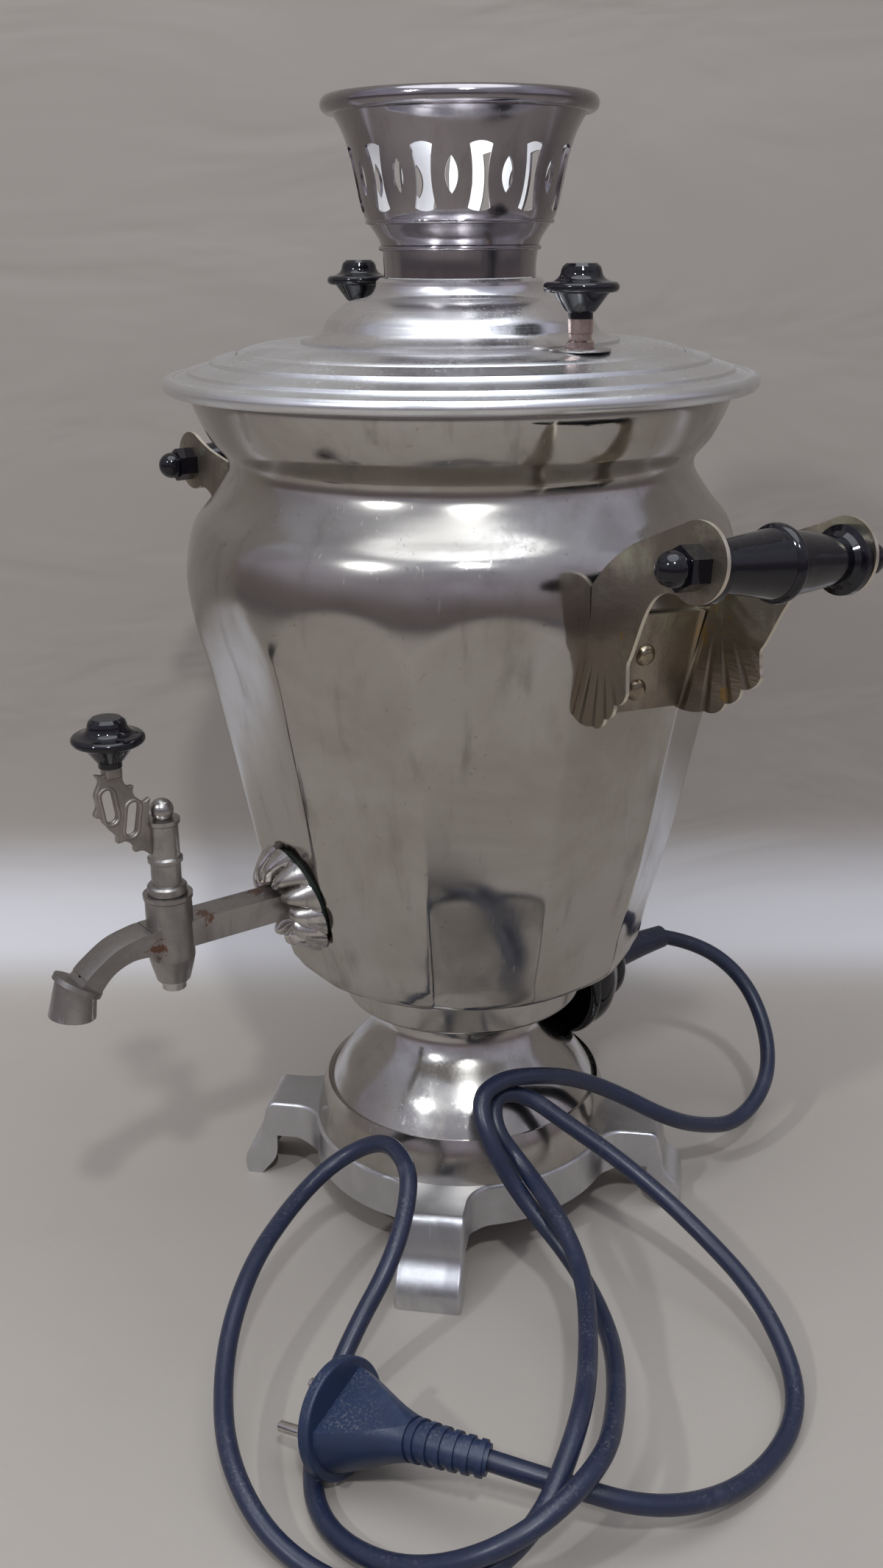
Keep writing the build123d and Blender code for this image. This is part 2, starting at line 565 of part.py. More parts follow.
def knob(collar_height):
    """Return a turned knob: collar, cone, broad rounded disc and flat cap."""
    collar_r = KNOB_COLLAR / 2
    rise = collar_height
    cone = Polyline((0, 0), (collar_r, 0), (collar_r, rise), (5.2, rise + 0.6), (9.6, rise + 6.4),
                    (11, rise + 6.6))
    rim = ThreePointArc((11, rise + 6.6), (13, rise + 8.4), (11.6, rise + 10))
    flare = Spline((11.6, rise + 10), (8.4, rise + 11), (6.9, rise + 13.8), tangents=[(-1, 0.1), (-0.1, 1)])
    cap = Polyline(flare @ 1, (6.4, rise + 15), (5.2, rise + 16), (0, rise + 16), (0, 0))
    bore = rod(STUD_DIAMETER / 2, STUD_DEPTH)
    return turned(outline(cone, rim, flare, cap)) - bore


LID_KNOB_LEVEL = LID_TOP + FERRULE_HEIGHT


def on_lid(side, shape):
    """Move a shape from the axis to the lid's right (+1) or left (-1) knob."""
    return Pos(side * KNOB_CIRCLE, 0, 0) * shape


def lid_knob(side):
    """Return one knob of the lid."""
    return on_lid(side, Pos(0, 0, LID_KNOB_LEVEL) * knob(2))


def lid_stud(side):
    """Return the stud of a lid knob, with the grooved ferrule that it passes through."""
    r = FERRULE_DIAMETER / 2
    high = FERRULE_HEIGHT
    shaft = STUD_DIAMETER / 2
    tail = SHEET + LID_NUT_HEIGHT + 1
    points = [(0, -tail), (shaft, -tail), (shaft, 0), (r + 0.4, 0), (r + 0.4, 3), (r - 0.4, 3.8),
              (r - 0.4, 5.6),
              (r, 6), (r, high), (shaft, high), (shaft, high + STUD_DEPTH), (0, high + STUD_DEPTH)]
    return on_lid(side, Pos(0, 0, LID_TOP) * turned(outline(Polyline(*points, close=True))))


def lid_nuts():
    """Return the nuts under the lid plate."""
    nut = hexagon(LID_NUT_FLATS, LID_NUT_HEIGHT) - rod(STUD_DIAMETER / 2, LID_NUT_HEIGHT)
    level = LID_TOP - SHEET - LID_NUT_HEIGHT
    return solids([on_lid(side, Pos(0, 0, level) * nut) for side in (-1, 1)])


# ---------------------------------------------------------------- crown
CROWN_LEVEL = LID_TOP + DOME_TOP + PASS
# Radius and height above the foot, up the outside of the crown.
CROWN_WALL = [(CROWN_FOOT, 0), (28.5, 7), (29.9, 13), (34.4, 19.8), (37.1, 28.5), (40.7, 44.5),
              (43.4, 51.4), (46.6, 56.2)]
CROWN_GROOVES = [(29.2, 10.2), (33.9, 19.2)]
WINDOW_LEVEL = 23.4
WINDOW_HEIGHT = 20.3
SLIT_LEVEL = 27.9
SLIT_HEIGHT = 12.3
CROWN_START = 4.3          # azimuth of the first window


def crown_window():
    """Return the outline of one waisted window, about the middle of its lower edge."""
    high = WINDOW_HEIGHT
    left = ThreePointArc((-4, 0), (-2.8, high / 2), (-4.1, high))
    right = ThreePointArc((4.1, high), (2.8, high / 2), (4, 0))
    return outline(left, ThreePointArc(left @ 1, (0, high + 1), right @ 0), right,
                   ThreePointArc(right @ 1, (0, -1), left @ 0))


def crown_slit():
    """Return the outline of one pointed slit, about its lower point."""
    left = ThreePointArc((0, 0), (-2.25, SLIT_HEIGHT / 2), (0, SLIT_HEIGHT))
    right = ThreePointArc((0, SLIT_HEIGHT), (2.25, SLIT_HEIGHT / 2), (0, 0))
    return outline(left, right)


def crown():
    """Return the pierced crown that a teapot stands on."""
    outer = Spline(*CROWN_WALL)
    inner = Spline(*[(r - CROWN_SHEET, z) for r, z in CROWN_WALL])
    shell = turned(outline(outer, Line(outer @ 1, inner @ 1), inner, Line(inner @ 0, outer @ 0)))
    bead = Pos(0, 0, CROWN_HEIGHT - CROWN_BEAD) * Torus(CROWN_RIM - CROWN_BEAD, CROWN_BEAD)
    ribs = [Pos(0, 0, z) * Torus(r, 0.9) for r, z in CROWN_GROOVES]
    window = extrude(FACING * Pos(0, WINDOW_LEVEL) * crown_window(), amount=CROWN_RIM)
    slit = extrude(FACING * Pos(0, SLIT_LEVEL) * crown_slit(), amount=CROWN_RIM)
    pitch = 360 / CROWN_OPENINGS
    cuts = [toward(CROWN_START + pitch * n, window) for n in range(CROWN_OPENINGS)]
    cuts += [toward(CROWN_START + pitch * (n + 0.5), slit) for n in range(CROWN_OPENINGS)]
    return Pos(0, 0, CROWN_LEVEL) * (shell + bead + ribs - cuts)


# ---------------------------------------------------------------- side handles
BRACKET_LOW = 130.0        # lower edge of a bracket's back, above the tank's underside
BRACKET_HIGH = 166.0
BACK_LOW = 102.2           # distance of the back plate's outer face from the axis, below and above
BACK_HIGH = 109.9
TWIST_LEVEL = TANK_LEVEL + 148


def place_handle(side, shape):
    """Turn a shape drawn towards the tap to a handle, with that handle's own twist."""
    pivot = Pos(0, 0, TWIST_LEVEL)
    twisted = pivot * Rot(0, HANDLE_TWIST[side], 0) * pivot.inverse() * shape
    return toward(90 if side == "right" else -90, twisted)


def ear_outline():
    """Return an ear's outline, as (distance out from its fold, height above the tank's underside)."""
    eye_x = GRIP_REACH - BRACKET_FOLD
    eye_z = GRIP_HEIGHT
    back = Spline((0, BRACKET_HIGH), (2.8, 173), (14.6, 185), (27.8, 193), (eye_x - 7, eye_z + 12.4),
                  tangents=[(0.1, 1), (1, 0.45)])
    nose = ThreePointArc(back @ 1, (eye_x + 12, eye_z), (eye_x - 7, eye_z - 9.6))
    neck = Spline(nose @ 1, (47.2, 181), (38.2, 169.4), (33, 157), (33.6, 146),
                  tangents=[(-1, 0.1), (0.2, -1)])
    scallops = [ThreePointArc((33.6, 146), (31.4, 142.2), (26.8, 140.6)),
                ThreePointArc((26.8, 140.6), (25.6, 136.4), (21.4, 134.4)),
                ThreePointArc((21.4, 134.4), (18.8, 130.6), (14, 130)),
                ThreePointArc((14, 130), (8, 128.6), (0, BRACKET_LOW))]
    return outline(back, nose, neck, *scallops, Line((0, BRACKET_LOW), (0, BRACKET_HIGH)))


def bracket(side):
    """Return a handle's bracket: a back on the tank and two ears that spread, then run parallel."""
    eye = Pos(GRIP_REACH - BRACKET_FOLD, GRIP_HEIGHT) * Circle(ROD_GRIP / 2 + SLIP)
    flat = extrude(SIDE * (ear_outline() - eye), amount=-EAR_SPREAD)
    bend = FilletPolyline((BRACKET_HALF, 0), (EAR_SPREAD, -EAR_BEND), (EAR_SPREAD, -GRIP_REACH),
                          radius=EAR_BEND)
    sheet = make_face(offset(bend, BRACKET_SHEET, side=Side.RIGHT, kind=Kind.INTERSECTION, closed=True))
    ear = flat & extrude(sheet, amount=GRIP_LEVEL)
    ear = Pos(0, -BRACKET_FOLD, TANK_LEVEL) * ear
    inner = BRACKET_FOLD - 6
    back = Polyline((inner, BRACKET_LOW), (BACK_LOW, BRACKET_LOW), (BACK_HIGH, BRACKET_HIGH),
                    (inner, BRACKET_HIGH),
                    close=True)
    plate = Pos(0, 0, TANK_LEVEL) * extrude(SIDE * outline(back), amount=BRACKET_HALF, both=True)
    whole = plate + ear + mirror(ear, Plane.YZ)
    cut = place_handle(side, whole) - TANK_SOLID
    return cut - rivet_holes(side)


def grip_axis(shape):
    """Lay an upright shape along the grip's axis, from the middle towards +X."""
    return Pos(0, -GRIP_REACH, GRIP_LEVEL) * Rot(0, 90, 0) * shape


def grip(side):
    """Return a turned grip: two flanges, two swells and a ring between them."""
    half = EAR_SPREAD - BRACKET_SHEET
    end = Polyline((ROD_GRIP / 2 + SLIP, half), (11.5, half), (11.5, half - 2.6), (9.4, half - 3.4),
                   (8, half - 5))
    swell = Spline((8, half - 5), (9.6, 14), (11, 4), (11.2, 2.4), tangents=[(0.05, -1), (0, -1)])
    ring = ThreePointArc((11.2, 2.4), (12.75, 0), (11.2, -2.4))
    other = mirror(swell, Plane.XZ)
    foot = Polyline((8, 5 - half), (9.4, 3.4 - half), (11.5, 2.6 - half), (11.5, -half),
                    (ROD_GRIP / 2 + SLIP, -half), (ROD_GRIP / 2 + SLIP, half))
    return place_handle(side, grip_axis(turned(outline(end, swell, ring, other, foot))))


def grip_rod(side):
    """Return the rod through a grip and its two ears."""
    half = EAR_SPREAD + ACORN_HEX
    return place_handle(side, grip_axis(Pos(0, 0, -half) * rod(ROD_GRIP / 2, 2 * half)))


def acorn_nuts(side):
    """Return the two acorn nuts that clamp a grip between its ears."""
    nut = hexagon(ACORN_FLATS, ACORN_HEX) + Pos(0, 0, ACORN_HEX + 2) * Sphere(ACORN_BALL)
    nut -= rod(ROD_GRIP / 2, ACORN_HEX)
    ends = [Pos(0, 0, EAR_SPREAD) * nut, Rot(180, 0, 0) * Pos(0, 0, EAR_SPREAD) * nut]
    return solids([place_handle(side, grip_axis(end)) for end in ends])


BACK_LEAN = degrees(atan2(BACK_HIGH - BACK_LOW, BRACKET_HIGH - BRACKET_LOW))
RIVET_LEVELS = (138.0, 151.0)
RIVET_GRIP = 5.2           # from the outer face of a bracket's back to the rivet's inner head
RIVET_TAIL = 1.4


def at_rivets(side, shape):
    """Return the shape at each rivet of a bracket, with its foot on the back's outer face."""
    placed = []
    for level in RIVET_LEVELS:
        share = (level - BRACKET_LOW) / (BRACKET_HIGH - BRACKET_LOW)
        reach = BACK_LOW + share * (BACK_HIGH - BACK_LOW)
        spot = Pos(0, -reach, TANK_LEVEL + level) * Rot(90 + BACK_LEAN, 0, 0)
        placed.append(place_handle(side, spot * shape))
    return placed


def rivet_holes(side):
    """Return the tools that cut a bracket's rivet holes."""
    return at_rivets(side, Pos(0, 0, -12) * rod(RIVET_SHANK / 2, 20))


def bracket_rivets(side):
    """Return a bracket's two rivets: domed head, shank and inner head."""
    head_r = RIVET_HEAD / 2
    shank_r = RIVET_SHANK / 2
    end = -RIVET_GRIP - RIVET_TAIL
    crest = head_r * 0.3
    dome = ThreePointArc((head_r, 0), (head_r * 0.75, head_r * 0.42), (crest, head_r * 0.6))
    rest = Polyline((crest, head_r * 0.6), (0, head_r * 0.6), (0, end), (head_r * 0.8, end),
                    (head_r * 0.8, -RIVET_GRIP),
                    (shank_r, -RIVET_GRIP), (shank_r, 0), (head_r, 0))
    return solids(at_rivets(side, turned(outline(dome, rest))))


# ---------------------------------------------------------------- tap
SPOUT_TOP = [(141, 4.5), (150, 4.0), (159.7, 1.6), (168.7, -3.9), (175.2, -9.5)]
SPOUT_LOW = [(167.9, -14.5), (165.2, -10.6), (161, -7), (155, -4.6), (141, -4.8)]
BARREL_TOP = 16.4          # barrel's upper face, above the arm's middle
BARREL_LOW = -18.6
COLLAR_TILT = 33.5         # lean of the spout's collar, degrees
NOZZLE_TILT = 9.0          # lean of its outlet, degrees
SPOUT_END = (173.8, -10.4)
OUTLET = (176.8, -21.8)


def disc_frame(point, tilt):
    """Return a plane across the spout at a point of the tap's middle plane, facing down and out."""
    reach, rise = point
    lean = radians(tilt)
    return Plane(origin=(0, -reach, TAP_LEVEL + rise), x_dir=(1, 0, 0), z_dir=(0, -sin(lean), -cos(lean)))


def tap_water_way():
    """Return the water way: along the stub, the arm and the spout, then out of the nozzle."""
    route = [TAP_SEAT.from_local_coords(Vector(0, 0, -18)), Vector(0, -94, TAP_LEVEL),
             Vector(0, -156, TAP_LEVEL - 0.6), Vector(0, -169.5, TAP_LEVEL - 7.6),
             Vector(0, -OUTLET[0], TAP_LEVEL + OUTLET[1])]
    path = FilletPolyline(*route, radius=6)
    section = Plane(origin=route[0], z_dir=path % 0) * Circle(TAP_BORE / 2)
    return sweep(section, path=path)


def tap_body():
    """Return the tap's casting: stub, square arm, plug barrel and curved spout."""
    root = -TAP_SEAT.origin.Y + 3
    arm = extrude(SIDE * Pos((root + TAP_KEY) / 2, TAP_LEVEL) * Rectangle(TAP_KEY - root, TAP_ARM_DEPTH),
                  amount=TAP_ARM_WIDTH / 2, both=True)
    stub = TAP_SEAT * Pos(0, 0, -SHEET - TAP_NUT_HEIGHT - 5) * rod(TAP_STUB / 2, SHEET + TAP_NUT_HEIGHT + 9)
    barrel_line = Polyline((0, BARREL_TOP), (BARREL_RADIUS, BARREL_TOP), (BARREL_RADIUS, BARREL_TOP - 1.6),
                           (BARREL_RADIUS - 0.5, BARREL_TOP - 2.2), (BARREL_RADIUS - 0.5, -9),
                           (BARREL_RADIUS - 1.4, -13),
                           (BARREL_RADIUS - 2.4, BARREL_LOW + 2),
                           (BARREL_RADIUS - 4 + FIT + 1, BARREL_LOW), (0, BARREL_LOW),
                           close=True)
    barrel = Pos(0, -TAP_KEY, TAP_LEVEL) * turned(outline(barrel_line))
    top = Spline(*SPOUT_TOP, tangents=[(1, 0), (1, -0.75)])
    low = Spline(*SPOUT_LOW, tangents=[(-0.45, 1), (-1, 0)])
    spout = outline(top, Line(top @ 1, low @ 0), low, Line(low @ 1, top @ 0))
    spout = Pos(0, 0, TAP_LEVEL) * extrude(SIDE * spout, amount=TAP_ARM_WIDTH / 2, both=True)
    throat = extrude(SIDE * Pos(TAP_KEY + 5, TAP_LEVEL) * Rectangle(10, TAP_ARM_DEPTH - 1),
                     amount=TAP_ARM_WIDTH / 2, both=True)
    rim = disc_frame(SPOUT_END, COLLAR_TILT) * Pos(0, 0, -1) * rod(NOZZLE_RADIUS + 0.9, 2)
    return arm + stub + barrel + throat + spout + rim


def nozzle():
    """Return the spout's outlet: a short bell from the collar to the tilted mouth."""
    start = disc_frame(SPOUT_END, COLLAR_TILT) * Pos(0, 0, 1)
    faces = [start * Circle(NOZZLE_RADIUS - 0.4), disc_frame(OUTLET, NOZZLE_TILT) * Circle(NOZZLE_RADIUS)]
    return loft(faces)


def nozzle_bore():
    """Return the wide mouth inside the outlet."""
    frame = disc_frame(OUTLET, NOZZLE_TILT)
    return frame * Pos(0, 0, -11) * rod(NOZZLE_BORE, 12)


def tap_casting():
    """Return the finished tap body, bored for its plug and for the water."""
    plug_hole = Pos(0, -TAP_KEY, TAP_LEVEL + BARREL_LOW) * rod(PLUG_RADIUS + FIT, BARREL_TOP - BARREL_LOW)
    return tap_body() + nozzle() - tap_water_way() - plug_hole - nozzle_bore()


def tap_rosette():
    """Return the petalled rosette between the tap's arm and the tank."""
    centre = Polyline((0, 0), (16, 0), (16, 3.2), (11, 5.4), (0, 5.4), close=True)
    disc = turned(outline(centre))
    petal = Pos(ROSETTE_RADIUS - PETAL_RADIUS, 0, 0) * Sphere(PETAL_RADIUS)
    flower = disc + [Rot(0, 0, 360 / ROSETTE_PETALS * n) * petal for n in range(ROSETTE_PETALS)]
    flower &= rod(ROSETTE_RADIUS + 1, ROSETTE_RADIUS)
    placed = TAP_SEAT * Pos(0, 0, GASKET_SHEET) * flower
    return placed - tap_arm_room()


def tap_arm_room():
    """Return the room that the tap's arm and stub take up in what lies round them."""
    arm = extrude(SIDE * Pos(TAP_KEY / 2 + 30, TAP_LEVEL) * Rectangle(TAP_KEY - 60, TAP_ARM_DEPTH),
                  amount=TAP_ARM_WIDTH / 2, both=True)
    stub = TAP_SEAT * Pos(0, 0, -30) * rod(TAP_STUB / 2, 34)
    return arm + stub


def tap_gasket():
    """Return the gasket under the rosette, which follows the tank."""
    disc = TAP_SEAT * Pos(0, 0, -1) * rod(GASKET_RADIUS, GASKET_SHEET + 1)
    return disc - TANK_SOLID - tap_arm_room()


def tap_washer():
    """Return the seal inside the tank wall."""
    disc = tube(TAP_NUT_FLATS / 2 + 2, TAP_STUB / 2, SEAL_SHEET + SHEET)
    return TAP_SEAT * Pos(0, 0, -SHEET - SEAL_SHEET) * disc & TANK_CAVITY


def tap_nut():
    """Return the nut inside the tank that holds the tap."""
    nut = hexagon(TAP_NUT_FLATS, TAP_NUT_HEIGHT) - rod(TAP_STUB / 2, TAP_NUT_HEIGHT)
    return TAP_SEAT * Pos(0, 0, -SHEET - SEAL_SHEET - TAP_NUT_HEIGHT) * nut


def at_key(shape):
    """Move an upright shape to the plug's axis, with heights from the arm's middle."""
    return Pos(0, -TAP_KEY, TAP_LEVEL) * shape


STEM_RADIUS = 5.6
STEM_TOP = 43.6            # underside of the cap that closes the stem
TAIL_LOW = -22.6


def tap_key():
    """Return the plug and its stem, turned in one, with the cross hole that opens the tap."""
    top = BARREL_TOP + PASS
    points = [(0, TAIL_LOW), (3, TAIL_LOW), (3, BARREL_LOW - PASS), (PLUG_RADIUS, BARREL_LOW - PASS),
              (PLUG_RADIUS, top),
              (7.4, top), (7.4, top + 2.6), (6.8, top + 3.4), (STEM_RADIUS, top + 3.8),
              (STEM_RADIUS, 28.6), (6.5, 29.2),
              (6.5, 30.6), (STEM_RADIUS, 31.4), (STEM_RADIUS, STEM_TOP), (6.4, STEM_TOP + 0.6),
              (6.4, STEM_TOP + 2.2),
              (2.4, STEM_TOP + 2.6), (0, STEM_TOP + 2.6)]
    stem = turned(outline(Polyline(*points, close=True)))
    ball = Pos(0, 0, STEM_TOP + 5.4) * Sphere(4.4)
    way = Rot(0, 90, 0) * Cylinder(TAP_BORE / 2, 4 * PLUG_RADIUS)
    return at_key(stem + ball - way)


def tap_key_nut():
    """Return the washer and nut below the barrel that keep the plug in."""
    level = BARREL_LOW - PASS
    washer = Pos(0, 0, level - 1) * tube(5.2, 3, 1)
    nut = Pos(0, 0, level - 3.6) * (rod(4.5, 2.6) - rod(3, 2.6))
    return at_key(washer + nut)


KNOB_BASE = 69.4           # underside of the tap's knob, above the arm's middle


def tap_lever():
    """Return the pierced ornamental lever, cast in the tap's middle plane."""
    reach = LEVER_REACH
    inner = Spline((STEM_RADIUS - 1, 43), (6.6, 51), (10.6, 55.6), (12.6, 60.6), (reach - 3.6, 64),
                   (reach - 3.6, KNOB_BASE),
                   tangents=[(0, 1), (0, 1)])
    tip = Line(inner @ 1, (reach + 2.8, KNOB_BASE))
    outer = Spline(tip @ 1, (reach + 3.6, 65.4), (reach + 6.4, 60), (reach + 4.6, 52), (reach + 2.4, 47.6),
                   (reach - 4, 39.6),
                   (STEM_RADIUS + 3, 34.2), (STEM_RADIUS - 1, 33), tangents=[(0, -1), (-1, 0)])
    plate = outline(inner, tip, outer, Line(outer @ 1, inner @ 0))
    slots = [Pos(reach + 2, 54.8) * Rot(0, 0, 82) * SlotOverall(12.6, 3.4),
             Pos(reach - 6.3, 48.4) * Rot(0, 0, 100) * SlotOverall(12.6, 3.4)]
    blade = extrude(SIDE * (plate - slots), amount=LEVER_SHEET / 2, both=True)
    cap = Pos(0, 0, STEM_TOP) * rod(6.6, 3)
    stem = rod(STEM_RADIUS, STEM_TOP) + cap + Pos(0, 0, STEM_TOP + 5.4) * Sphere(4.6)
    pin = Pos(0, -reach, KNOB_BASE) * rod(STUD_DIAMETER / 2, STUD_DEPTH)
    pad = Pos(0, -reach, KNOB_BASE - 4) * Box(6, 6, 4, align=(Align.CENTER, Align.CENTER, Align.MIN))
    return at_key(blade - stem + pad + pin)


def tap_knob():
    """Return the tap's knob, on the lever's pin."""
    return at_key(Pos(0, -LEVER_REACH, KNOB_BASE) * knob(2))


# ---------------------------------------------------------------- mains cord and plug
def pointing(heading, tilt):
    """Return the unit vector towards a heading in plan, tilted down, both in degrees."""
    level = cos(radians(tilt))
    return Vector(level * cos(radians(heading)), level * sin(radians(heading)), -sin(radians(tilt)))


def plug_plane():
    """Return the plane of the flange's face, with x along the pins' row and z towards the cord."""
    pins = pointing(PLUG_HEADING, PLUG_TILT)
    row = pins.cross(Vector(0, 0, 1)).normalized().rotate(Axis((0, 0, 0), pins), -PLUG_ROLL)
    return Plane(origin=PLUG_FACE, x_dir=row, z_dir=-pins)


def plug_pins():
    """Return the plug's two round pins."""
    radius = PIN_DIAMETER / 2
    points = [(0, -PIN_LENGTH), (radius * 0.6, -PIN_LENGTH), (radius, 1 - PIN_LENGTH), (radius, PIN_ROOT),
              (0, PIN_ROOT)]
    pin = turned(outline(Polyline(*points, close=True)))
    return solids([plug_plane() * Pos(side * PIN_SPACING / 2, 0, 0) * pin for side in (-1, 1)])


def plug_body():
    """Return the plug's body: a round flange and a cone with two flat sides."""
    flange = rod(PLUG_FLANGE, PLUG_FLANGE_SHEET)
    flange = fillet(flange.edges().filter_by(GeomType.CIRCLE), 1)
    root = PLUG_FLANGE - 3
    flat = PLUG_FLANGE / 2
    side = Spline((root, PLUG_FLANGE_SHEET), (root - 1.4, 9), (root - 6.2, 21), (PLUG_NECK, PLUG_LENGTH))
    rest = Polyline(side @ 1, (0, PLUG_LENGTH), (0, PLUG_FLANGE_SHEET), side @ 0)
    cone = turned(outline(side, rest))
    wedge = Polyline((-flat, 0), (flat, 0), (PLUG_NECK, PLUG_LENGTH), (-PLUG_NECK, PLUG_LENGTH), close=True)
    cone &= extrude(Plane.YZ * outline(wedge), amount=PLUG_FLANGE, both=True)
    return plug_plane() * (flange + cone) - plug_pins()


def relief_line():
    """Return the middle line of the plug's strain relief, which bends round to the cord."""
    inward = -pointing(PLUG_HEADING, PLUG_TILT)
    outward = pointing(RELIEF_HEADING, RELIEF_TILT)
    start = Plane(origin=Vector(*PLUG_FACE) + inward * PLUG_LENGTH, x_dir=inward,
                  z_dir=inward.cross(outward))
    bend = inward.get_angle(outward)
    return start * JernArc((0, 0), (1, 0), RELIEF_LENGTH / radians(bend), bend)


def across(line, share):
    """Return the plane across a line at a share of its length."""
    return Plane(origin=line @ share, z_dir=line % share)


def plug_relief():
    """Return the tapered strain relief with its rings."""
    line = relief_line()
    ends = [across(line, 0) * Circle(RELIEF_ROOT), across(line, 1) * Circle(RELIEF_TIP)]
    relief = sweep(ends, path=line, multisection=True)
    for ring in range(RELIEF_RINGS):
        share = (ring + 0.5) / RELIEF_RINGS
        radius = RELIEF_ROOT + share * (RELIEF_TIP - RELIEF_ROOT) + 0.8
        relief += across(line, share) * Pos(0, 0, -1) * rod(radius, 2)
    return relief


def cord_points():
    """Return the cord's route, from the tip of its boot to the plug's relief."""
    start = Vector(0, BOOT_START + BOOT_LENGTH, INLET_LEVEL)
    return [start] + [Vector(*point) for point in CORD_ROUTE] + [relief_line() @ 1]


def bend_radii(points):
    """Return the radius of each bend of a route, whose arc takes a set share of its shorter run."""
    radii = []
    for before, corner, after in zip(points, points[1:], points[2:]):
        turn = radians((corner - before).get_angle(after - corner))
        run = min((corner - before).length, (after - corner).length)
        radii.append(CORD_BEND * run / tan(turn / 2))
    return radii


def cord():
    """Return the mains cord as a round tube along its route."""
    points = cord_points()
    line = FilletPolyline(*points, radius=bend_radii(points))
    tube = sweep(across(line, 0) * Circle(CORD_DIAMETER / 2), path=line)
    return tube - cord_boot() - plug_relief()


# ---------------------------------------------------------------- writing
def build():
    """Return every sub-part by its node name, about the tank's axis."""
    parts = {
        "crown": crown(), "lid_dome": lid_dome(), "lid_plate": lid_plate(), "lid_nuts": lid_nuts(),
        "top_ring": top_ring(), "body_shell": body_shell(), "tank_floor": tank_floor(),
        "heating_element": heating_element(), "heater_seals": heater_seals(), "heater_nuts": heater_nuts(),
        "collar": collar(), "pedestal": pedestal(), "base": base(), "bottom_cover": bottom_cover(),
        "tie_rod": tie_rod(), "tie_washer": tie_washer(), "tie_nut": tie_nut(),
        "terminal_block": terminal_block(), "internal_leads": internal_leads(),
        "inlet_housing": inlet_housing(), "inlet_bush": inlet_bush(), "cord_boot": cord_boot(),
        "cord": cord(), "plug_body": plug_body(), "plug_pins": plug_pins(), "plug_relief": plug_relief(),
        "tap_body": tap_casting(), "tap_rosette": tap_rosette(), "tap_gasket": tap_gasket(),
        "tap_washer": tap_washer(), "tap_nut": tap_nut(), "tap_key": tap_key(),
        "tap_key_nut": tap_key_nut(),
        "tap_lever": tap_lever(), "tap_knob": tap_knob(),
    }
    for side, name in ((1, "right"), (-1, "left")):
        parts[f"{name}_lid_knob"] = lid_knob(side)
        parts[f"{name}_lid_stud"] = lid_stud(side)
        parts[f"{name}_handle_bracket"] = bracket(name)
        parts[f"{name}_handle_grip"] = grip(name)
        parts[f"{name}_handle_rod"] = grip_rod(name)
        parts[f"{name}_acorn_nuts"] = acorn_nuts(name)
        parts[f"{name}_bracket_rivets"] = bracket_rivets(name)
    return parts


CORD_PARTS = ("cord", "cord_boot", "plug_body", "plug_pins", "plug_relief")


def main():
    """Build the parts, stand the samovar on the middle of its own footprint and write them."""
    parts = build()
    box = Compound([part for name, part in parts.items() if name not in CORD_PARTS]).bounding_box()
    centre = Pos(-box.center().X, -box.center().Y, 0)
    print("tank axis at", round(-box.center().X, 3), round(-box.center().Y, 3))
    print("cord bend radii", [round(radius, 1) for radius in bend_radii(cord_points())])
    os.makedirs("parts", exist_ok=True)
    for name, part in parts.items():
        export_step(centre * part, f"parts/{name}.step")


if __name__ == "__main__":
    main()
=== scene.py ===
"""Dress the electric samovar: finishes for its frame, its detailed pieces, the cord and the studio."""
import logging
from dataclasses import dataclass
from enum import Enum
from math import atan2, cos, hypot, pi, radians, sin, sqrt

import bmesh
import bpy
from bmesh.types import BMEdge, BMesh, BMVert
from bpy.types import Curve, Material, Node, NodeSocket, NodeTree, Object
from mathutils import Matrix, Vector


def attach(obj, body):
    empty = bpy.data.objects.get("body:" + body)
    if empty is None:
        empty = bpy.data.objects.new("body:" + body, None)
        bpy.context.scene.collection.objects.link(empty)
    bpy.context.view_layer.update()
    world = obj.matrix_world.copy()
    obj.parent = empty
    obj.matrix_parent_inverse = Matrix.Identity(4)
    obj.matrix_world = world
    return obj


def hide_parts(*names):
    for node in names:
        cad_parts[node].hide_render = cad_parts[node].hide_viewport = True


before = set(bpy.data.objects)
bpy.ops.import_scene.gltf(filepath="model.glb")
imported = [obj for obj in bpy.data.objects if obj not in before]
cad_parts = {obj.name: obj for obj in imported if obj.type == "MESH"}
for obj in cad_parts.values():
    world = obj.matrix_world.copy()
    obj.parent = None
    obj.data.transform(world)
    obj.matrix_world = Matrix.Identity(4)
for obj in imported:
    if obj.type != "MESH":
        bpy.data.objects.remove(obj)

LOG = logging.getLogger("samovar")
MM = 0.001                    # a millimetre, in metres
AXIS_Y = 0.0366878            # the tank's upright axis, from the middle of the footprint, in metres
BASE_TOP = 37.0               # this and the next levels are heights above the ground, in millimetres
COLLAR_LEVEL = 98.7
TANK_LEVEL = 116.0
LID_TOP = 366.6
TAP_LEVEL = 159.6
TAP_KEY = 135.7               # how far the tap's key stands in front of the axis, in millimetres
FACETS = 12
Point = tuple[float, float]


def place(x: float, y: float, z: float) -> Vector:
    """Turn a place about the tank's axis, in millimetres, into one in the frame, in metres."""
    return Vector((x * MM, y * MM + AXIS_Y, z * MM))


